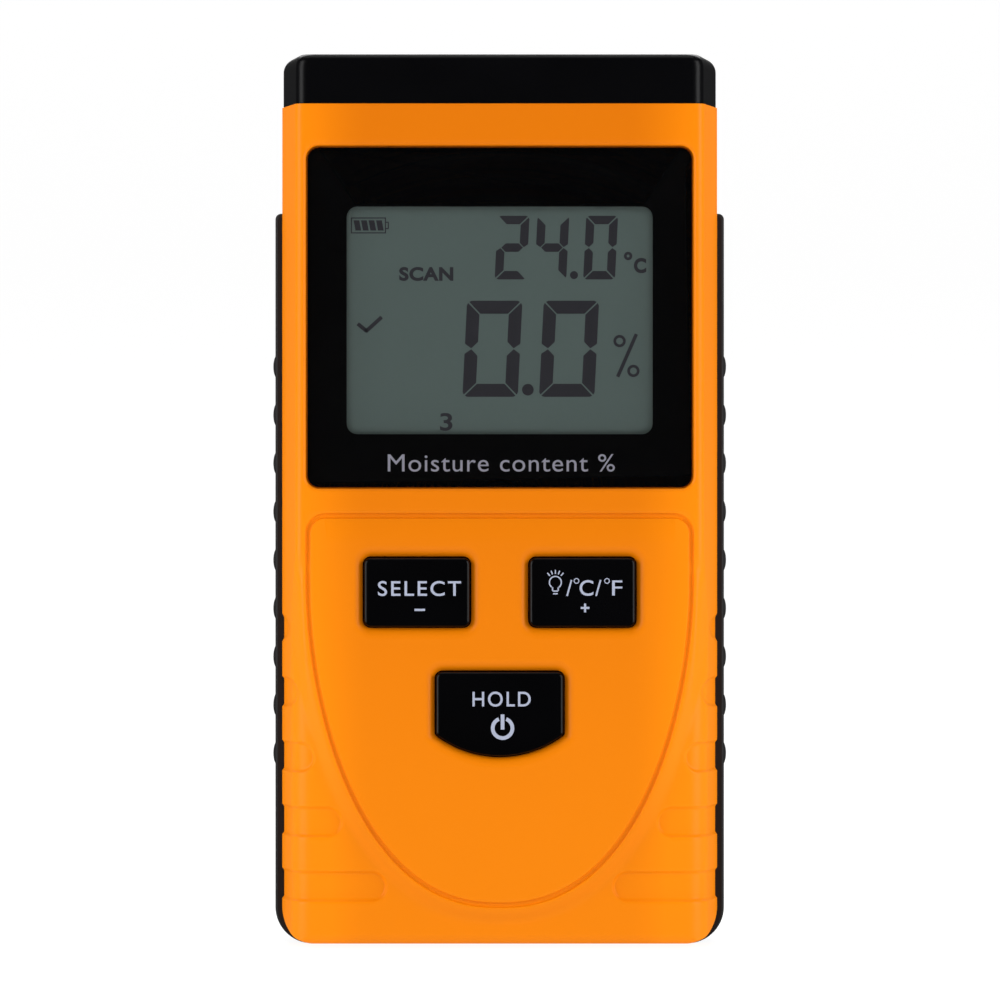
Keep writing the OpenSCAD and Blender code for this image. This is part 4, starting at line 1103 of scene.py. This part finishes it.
def digit(s, which, x, z, wide, tall, stroke, gap):
    """One seven-segment digit as outlines. Each segment is a bar with pointed ends, moved sideways
    by its height times the tangent of the slant."""
    h, w, t, g = tall / 2, wide / 2, stroke, gap
    in_x, in_z, cut = w - t, h - t, 0.3 * stroke
    shoulder = 1 - 0.3 * cut / h
    along = [(-w + g + cut, 1), (w - g - cut, 1), (w - g - 0.35 * cut, shoulder), (in_x - g, in_z / h),
             (-in_x + g, in_z / h), (-w + g + 0.35 * cut, shoulder)]
    down = [(w, h - g - cut), (w, 0.35 * t + g / 2), (w - t / 2, g / 2), (in_x, t / 2 + g / 2),
            (in_x, in_z - g), (w - 0.3 * cut, h - g - 0.35 * cut)]
    shapes = {
        "a": [(p, q * h) for p, q in along],
        "d": [(p, -q * h) for p, q in along],
        "b": down,
        "c": [(p, -q) for p, q in down],
        "e": [(-p, -q) for p, q in down],
        "f": [(-p, q) for p, q in down],
        "g": [(-in_x + g, t / 2), (in_x - g, t / 2), (w - t / 2 - g, 0), (in_x - g, -t / 2),
              (-in_x + g, -t / 2), (-w + t / 2 + g, 0)],
    }
    lean = math.tan(s.slant)
    return [np.array([(x + a + b * lean, z + b) for a, b in shapes[k]]) for k in SEGMENTS[which]]


class METER_OT_display(bpy.types.Operator):
    """Display: clear lens, black print behind it, dark segments on the glass and the caption"""
    bl_idname = "meter.display"
    bl_label = "Display"

    def execute(self, context):
        s = context.scene.meter_display
        radius, edge = s.lens_r - 0.1 * MM, 0.15 * MM
        y0, y1 = low("display_lens")[1], high("display_lens")[1]
        rings = [front(around("display_lens", -edge * (1 - math.sin(t)), radius),
                       y0 + edge * (1 - math.cos(t))) for t in quarter(5)]
        rings.append(front(around("display_lens", 0.0, radius), y1))
        place(smooth(loft("lens_sheet", rings), 35), "case", clear_lens(), ["display_lens"])
        border = moulded("border_print", s.border, scaled(s.border, 1.4), 0.5, 0.2 * MM, 0.001 * MM, 0.2)
        place(softened("lens_border", 0.01 * MM, 1, False), "case", border, ["lens_border"])
        place(self.reading(s, low("lcd_front_glass")[1], 0.03 * MM), "case", segment_ink(s))
        caption = words("Moisture content %", 2.75 * MM, 35.6 * MM, 0.25 * MM, 76.0 * MM,
                        low("lens_border")[1], 0.02 * MM, 1.08)
        place(join("lens_caption", [caption]), "case", printed("caption_ink", s.caption))
        return {"FINISHED"}

    def reading(self, s, y, thick):
        """The dark segments: two readings, their points and units, and the signs round them."""
        shapes, gap = [], 0.14 * MM
        for x in (-1.14, 10.9):
            shapes += digit(s, "0", x * MM, 93.93 * MM, 8.7 * MM, s.big_h, 2.05 * MM, gap)
        for x, which in ((1.95, "2"), (8.2, "4"), (15.85, "0")):
            shapes += digit(s, which, x * MM, 109.82 * MM, 5.0 * MM, s.small_h, 1.33 * MM, gap)
        once = np.linspace(0, 2 * math.pi, 25)[:-1]
        shapes += [circle(x * MM, z * MM, r * MM, once)
                   for x, z, r in ((4.43, 87.5, 0.92), (11.67, 105.5, 0.63))]
        percent = (18.53, 89.53, 21.47, 96.24, 0.55)
        tick = [(-22.3, 97.86, -20.85, 96.66, 0.6), (-21.05, 96.62, -18.53, 98.91, 0.6)]
        shapes += strokes(0, 0, percent, *tick) + self.battery(-20.6 * MM, 113.3 * MM)
        marks = [annulus(x * MM, z * MM, r * MM, (r - 0.44) * MM, y, thick)
                 for x, z, r in ((20.17, 108.5, 0.66), (18.83, 95.14, 0.97), (21.0, 90.45, 0.97))]
        marks.append(flat_print(shapes, y, thick))
        for text, tall, wide, x, z, spacing, bold in (("C", 2.4, 1.95, 22.05, 107.0, 1.0, 0.11),
                                                      ("SCAN", 2.2, 8.5, -11.53, 105.68, 1.08, 0.09),
                                                      ("3", 2.8, 1.95, -8.4, 82.45, 1.0, 0.05)):
            marks.append(words(text, tall * MM, wide * MM, x * MM, z * MM, y, thick, spacing, bold * MM))
        return join("display_segments", marks)

    @staticmethod
    def battery(x, z):
        """A battery symbol: an outline with a nub and four slanted bars."""
        w, h, t = 2.75, 1.17, 0.17
        left, right, foot, head = -w + t / 2, w - t / 2, -h + t / 2, h - t / 2
        edges = strokes(x, z, (-w, h, w, h, t), (-w, -h, w, -h, t), (left, foot, left, head, t),
                        (right, foot, right, head, t), (w, 0.5, w + 0.42, 0.5, t),
                        (w, -0.5, w + 0.42, -0.5, t), (w + 0.36, -0.42, w + 0.36, 0.42, t))
        slanted = np.array([(0.3, -0.8), (1.2, -0.8), (0.9, 0.8), (0.0, 0.8)])
        return edges + [(slanted + (0.4 - w + i * 1.18, 0)) * MM + (x, z) for i in range(4)]


# ---------------------------------------------------------------- inner parts, kept as they are

class METER_OT_inner_parts(bpy.types.Operator):
    """Finishes of the display stack, board, switches, leads, cells, contacts and screws"""
    bl_idname = "meter.inner_parts"
    bl_label = "Inner parts"

    def execute(self, context):
        steel = metal("screw_steel", (0.55, 0.56, 0.58), 0.3)
        chip = speckled("chip_epoxy", (0.012, 0.012, 0.013), (0.03, 0.03, 0.032), 0.12 * MM, 0.5)
        board = board_mask()
        plastics = {
            "switch_nylon": ((0.02, 0.02, 0.022), (0.012, 0.012, 0.013), 0.5, 0.2, 0.006),
            "plunger_acetal": ((0.55, 0.48, 0.1), (0.48, 0.4, 0.08), 0.4, 0.2, 0.004),
            "rear_glass": ((0.09, 0.12, 0.11), (0.07, 0.1, 0.09), 0.15, 0.5, 0.001),
            "reflector_film": ((0.6, 0.62, 0.6), (0.5, 0.52, 0.5), 0.4, 0.1, 0.004),
            "light_guide": ((0.8, 0.8, 0.75), (0.7, 0.7, 0.66), 0.35, 0.6, 0.004),
            "holder_plastic": ((0.65, 0.65, 0.6), (0.55, 0.55, 0.5), 0.5, 0.3, 0.006),
            "lead_cover": ((0.5, 0.5, 0.47), (0.42, 0.42, 0.4), 0.45, 0.2, 0.004),
            "battery_lead_cover": ((0.4, 0.02, 0.015), (0.3, 0.015, 0.01), 0.45, 0.2, 0.004),
        }
        plastic = {name: moulded(name, tint, shade, roughness, grain * MM, depth * MM)
                   for name, (tint, shade, roughness, grain, depth) in plastics.items()}
        finishes = {
            "lcd_front_glass": display_glass(context.scene.meter_display),
            "lcd_rear_glass": plastic["rear_glass"],
            "lcd_reflector": plastic["reflector_film"],
            "backlight_panel": plastic["light_guide"],
            "lcd_holder": plastic["holder_plastic"],
            "zebra_connector": striped(),
            "circuit_board": board, "sensor_board": board,
            "pcb_screws": steel, "case_screws": steel,
            "mcu_chip": chip, "sensor_chip": chip,
            "crystal": metal("crystal_can", (0.7, 0.7, 0.68), 0.28, 0.8 * MM),
            "thermistor": speckled("thermistor_bead", (0.03, 0.02, 0.012), (0.06, 0.05, 0.03), 0.2 * MM, 0.3),
            "capacitors": speckled("capacitor_ceramic", (0.42, 0.28, 0.13), (0.5, 0.36, 0.2), 0.15 * MM, 0.4),
            "sensor_electrodes": metal("electrode_copper", (0.8, 0.4, 0.22), 0.3, 0.7 * MM),
            "sensor_leads": plastic["lead_cover"],
            "battery_cells": cell_wrap(),
            "battery_springs": metal("spring_wire", (0.66, 0.66, 0.64), 0.24, 0.3 * MM),
            "battery_plates": metal("contact_plate", (0.68, 0.67, 0.64), 0.3, 0.5 * MM),
            "battery_leads": plastic["battery_lead_cover"],
        }
        for key in KEYS:
            finishes[key.replace("key", "switch")] = plastic["switch_nylon"]
            finishes[key.replace("key", "plunger")] = plastic["plunger_acetal"]
        for node, finish in finishes.items():
            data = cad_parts[node].data
            data.materials.clear()
            data.materials.append(finish)
        return {"FINISHED"}


# ---------------------------------------------------------------- stage

def soft_box(name, power, place_at, aim, wide, tall):
    """A rectangular light that faces a point."""
    data = bpy.data.lights.new(name, "AREA")
    data.shape, data.size, data.size_y, data.energy = "RECTANGLE", wide, tall, power
    lamp = bpy.data.objects.new(name, data)
    bpy.context.scene.collection.objects.link(lamp)
    lamp.location = place_at
    lamp.rotation_euler = (Vector(aim) - Vector(place_at)).to_track_quat("-Z", "Y").to_euler()
    return lamp


class METER_OT_stage(bpy.types.Operator):
    """Pale seamless floor, soft lights at the front and both sides, and the camera"""
    bl_idname = "meter.stage"
    bl_label = "Stage"

    def execute(self, context):
        for make in (self.floor, self.lights, self.camera):
            make(context.scene.meter_stage, context.scene)
        return {"FINISHED"}

    @staticmethod
    def floor(s, scene):
        """A floor whose far side bends up into a backdrop on a quarter circle."""
        reach, near, behind, bend, tall = 2.4, -2.2, 0.7, 0.35, 2.4
        t = quarter(16)
        y = np.concatenate([[near], behind + bend * np.sin(t), [behind + bend]])
        z = np.concatenate([[0.0], bend * (1 - np.cos(t)), [tall]])
        x = np.linspace(-reach, reach, 9)
        grid = np.stack([np.repeat(x[None, :], len(y), 0), np.repeat(y[:, None], len(x), 1),
                         np.repeat(z[:, None], len(x), 1)], axis=-1)
        mesh = bpy.data.meshes.new("floor")
        mesh.from_pydata(grid.reshape(-1, 3).tolist(), [], strip(len(y), len(x), closed_columns=False))
        mesh.shade_smooth()
        floor = bpy.data.objects.new("floor", mesh)
        scene.collection.objects.link(floor)
        f = Finish("floor_paper")
        paper = f.noise(0.3, 2.0)
        mesh.materials.append(f.surface(Base_Color=f.blend(paper, s.floor, scaled(s.floor, 0.985)),
                                        Roughness=0.85, Emission_Color=(1.0, 1.0, 1.0, 1.0),
                                        Emission_Strength=s.glow, Specular_IOR_Level=0.1))
        floor.visible_glossy = False

    @staticmethod
    def lights(s, scene):
        """Soft boxes on both sides, in front, overhead and behind, and an even room light."""
        face = (0.0, FACE_Y, SEAM_Z / 2)
        soft_box("side_light_left", s.side_light, (-0.42, -0.22, 0.12), face, 0.25, 0.5)
        soft_box("side_light_right", s.side_light, (0.42, -0.22, 0.12), face, 0.25, 0.5)
        soft_box("front_light", s.front_light, (0.0, -0.75, 0.5), face, 0.9, 0.5).visible_glossy = False
        soft_box("top_light", s.top_light, (0.0, -0.05, 0.75), face, 0.5, 0.2)
        soft_box("back_light", s.back_light, (0.0, 0.55, 0.6), (0.0, 0.0, 0.07), 0.8, 0.4)
        scene.world = bpy.data.worlds.new("studio")
        scene.world.use_nodes = True
        sky = scene.world.node_tree.nodes["Background"].inputs
        sky["Color"].default_value, sky["Strength"].default_value = (1, 1, 1, 1), s.world
        scene.view_settings.view_transform = "Standard"

    @staticmethod
    def camera(s, scene):
        """A long lens, level with the middle of the face and square to it."""
        camera = bpy.data.objects.new("camera", bpy.data.cameras.new("camera"))
        scene.collection.objects.link(camera)
        camera.data.sensor_width = 36.0
        camera.data.lens = camera.data.sensor_width * s.distance / s.frame_w
        camera.location = (0.05 * MM, FACE_Y - s.distance, s.height)
        camera.rotation_euler = (math.pi / 2, 0, 0)
        camera.data.clip_start, camera.data.clip_end = 0.05, 20.0
        scene.camera = camera


GROUPS = (METER_PG_shell, METER_PG_keys, METER_PG_display, METER_PG_body, METER_PG_stage)
OPERATORS = (METER_OT_stage, METER_OT_front_shell, METER_OT_end_cap, METER_OT_grips, METER_OT_rear_parts,
             METER_OT_keys, METER_OT_display, METER_OT_inner_parts)


def setting(group):
    """Name under which the scene keeps a group's values."""
    return "meter_" + group.__name__.rsplit("_", 1)[1]


class METER_PT_panel(bpy.types.Panel):
    """Sizes, colours and the steps that build the meter"""
    bl_label = "Moisture Meter"
    bl_idname = "METER_PT_panel"
    bl_space_type = "VIEW_3D"
    bl_region_type = "UI"
    bl_category = "Meter"

    def draw(self, context):
        for step in OPERATORS:
            self.layout.operator(step.bl_idname)
        for group in GROUPS:
            for key in group.__annotations__:
                self.layout.prop(getattr(context.scene, setting(group)), key)


def register():
    for item in (*GROUPS, *OPERATORS, METER_PT_panel):
        bpy.utils.register_class(item)
    for group in GROUPS:
        setattr(bpy.types.Scene, setting(group), bpy.props.PointerProperty(type=group))


def unregister():
    for group in GROUPS:
        delattr(bpy.types.Scene, setting(group))
    for item in reversed((*GROUPS, *OPERATORS, METER_PT_panel)):
        bpy.utils.unregister_class(item)


def main():
    """Builds the meter and its stage."""
    register()
    for step in OPERATORS:
        group, name = step.bl_idname.split(".")
        getattr(getattr(bpy.ops, group), name)()
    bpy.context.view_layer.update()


if __name__ == "__main__":
    main()
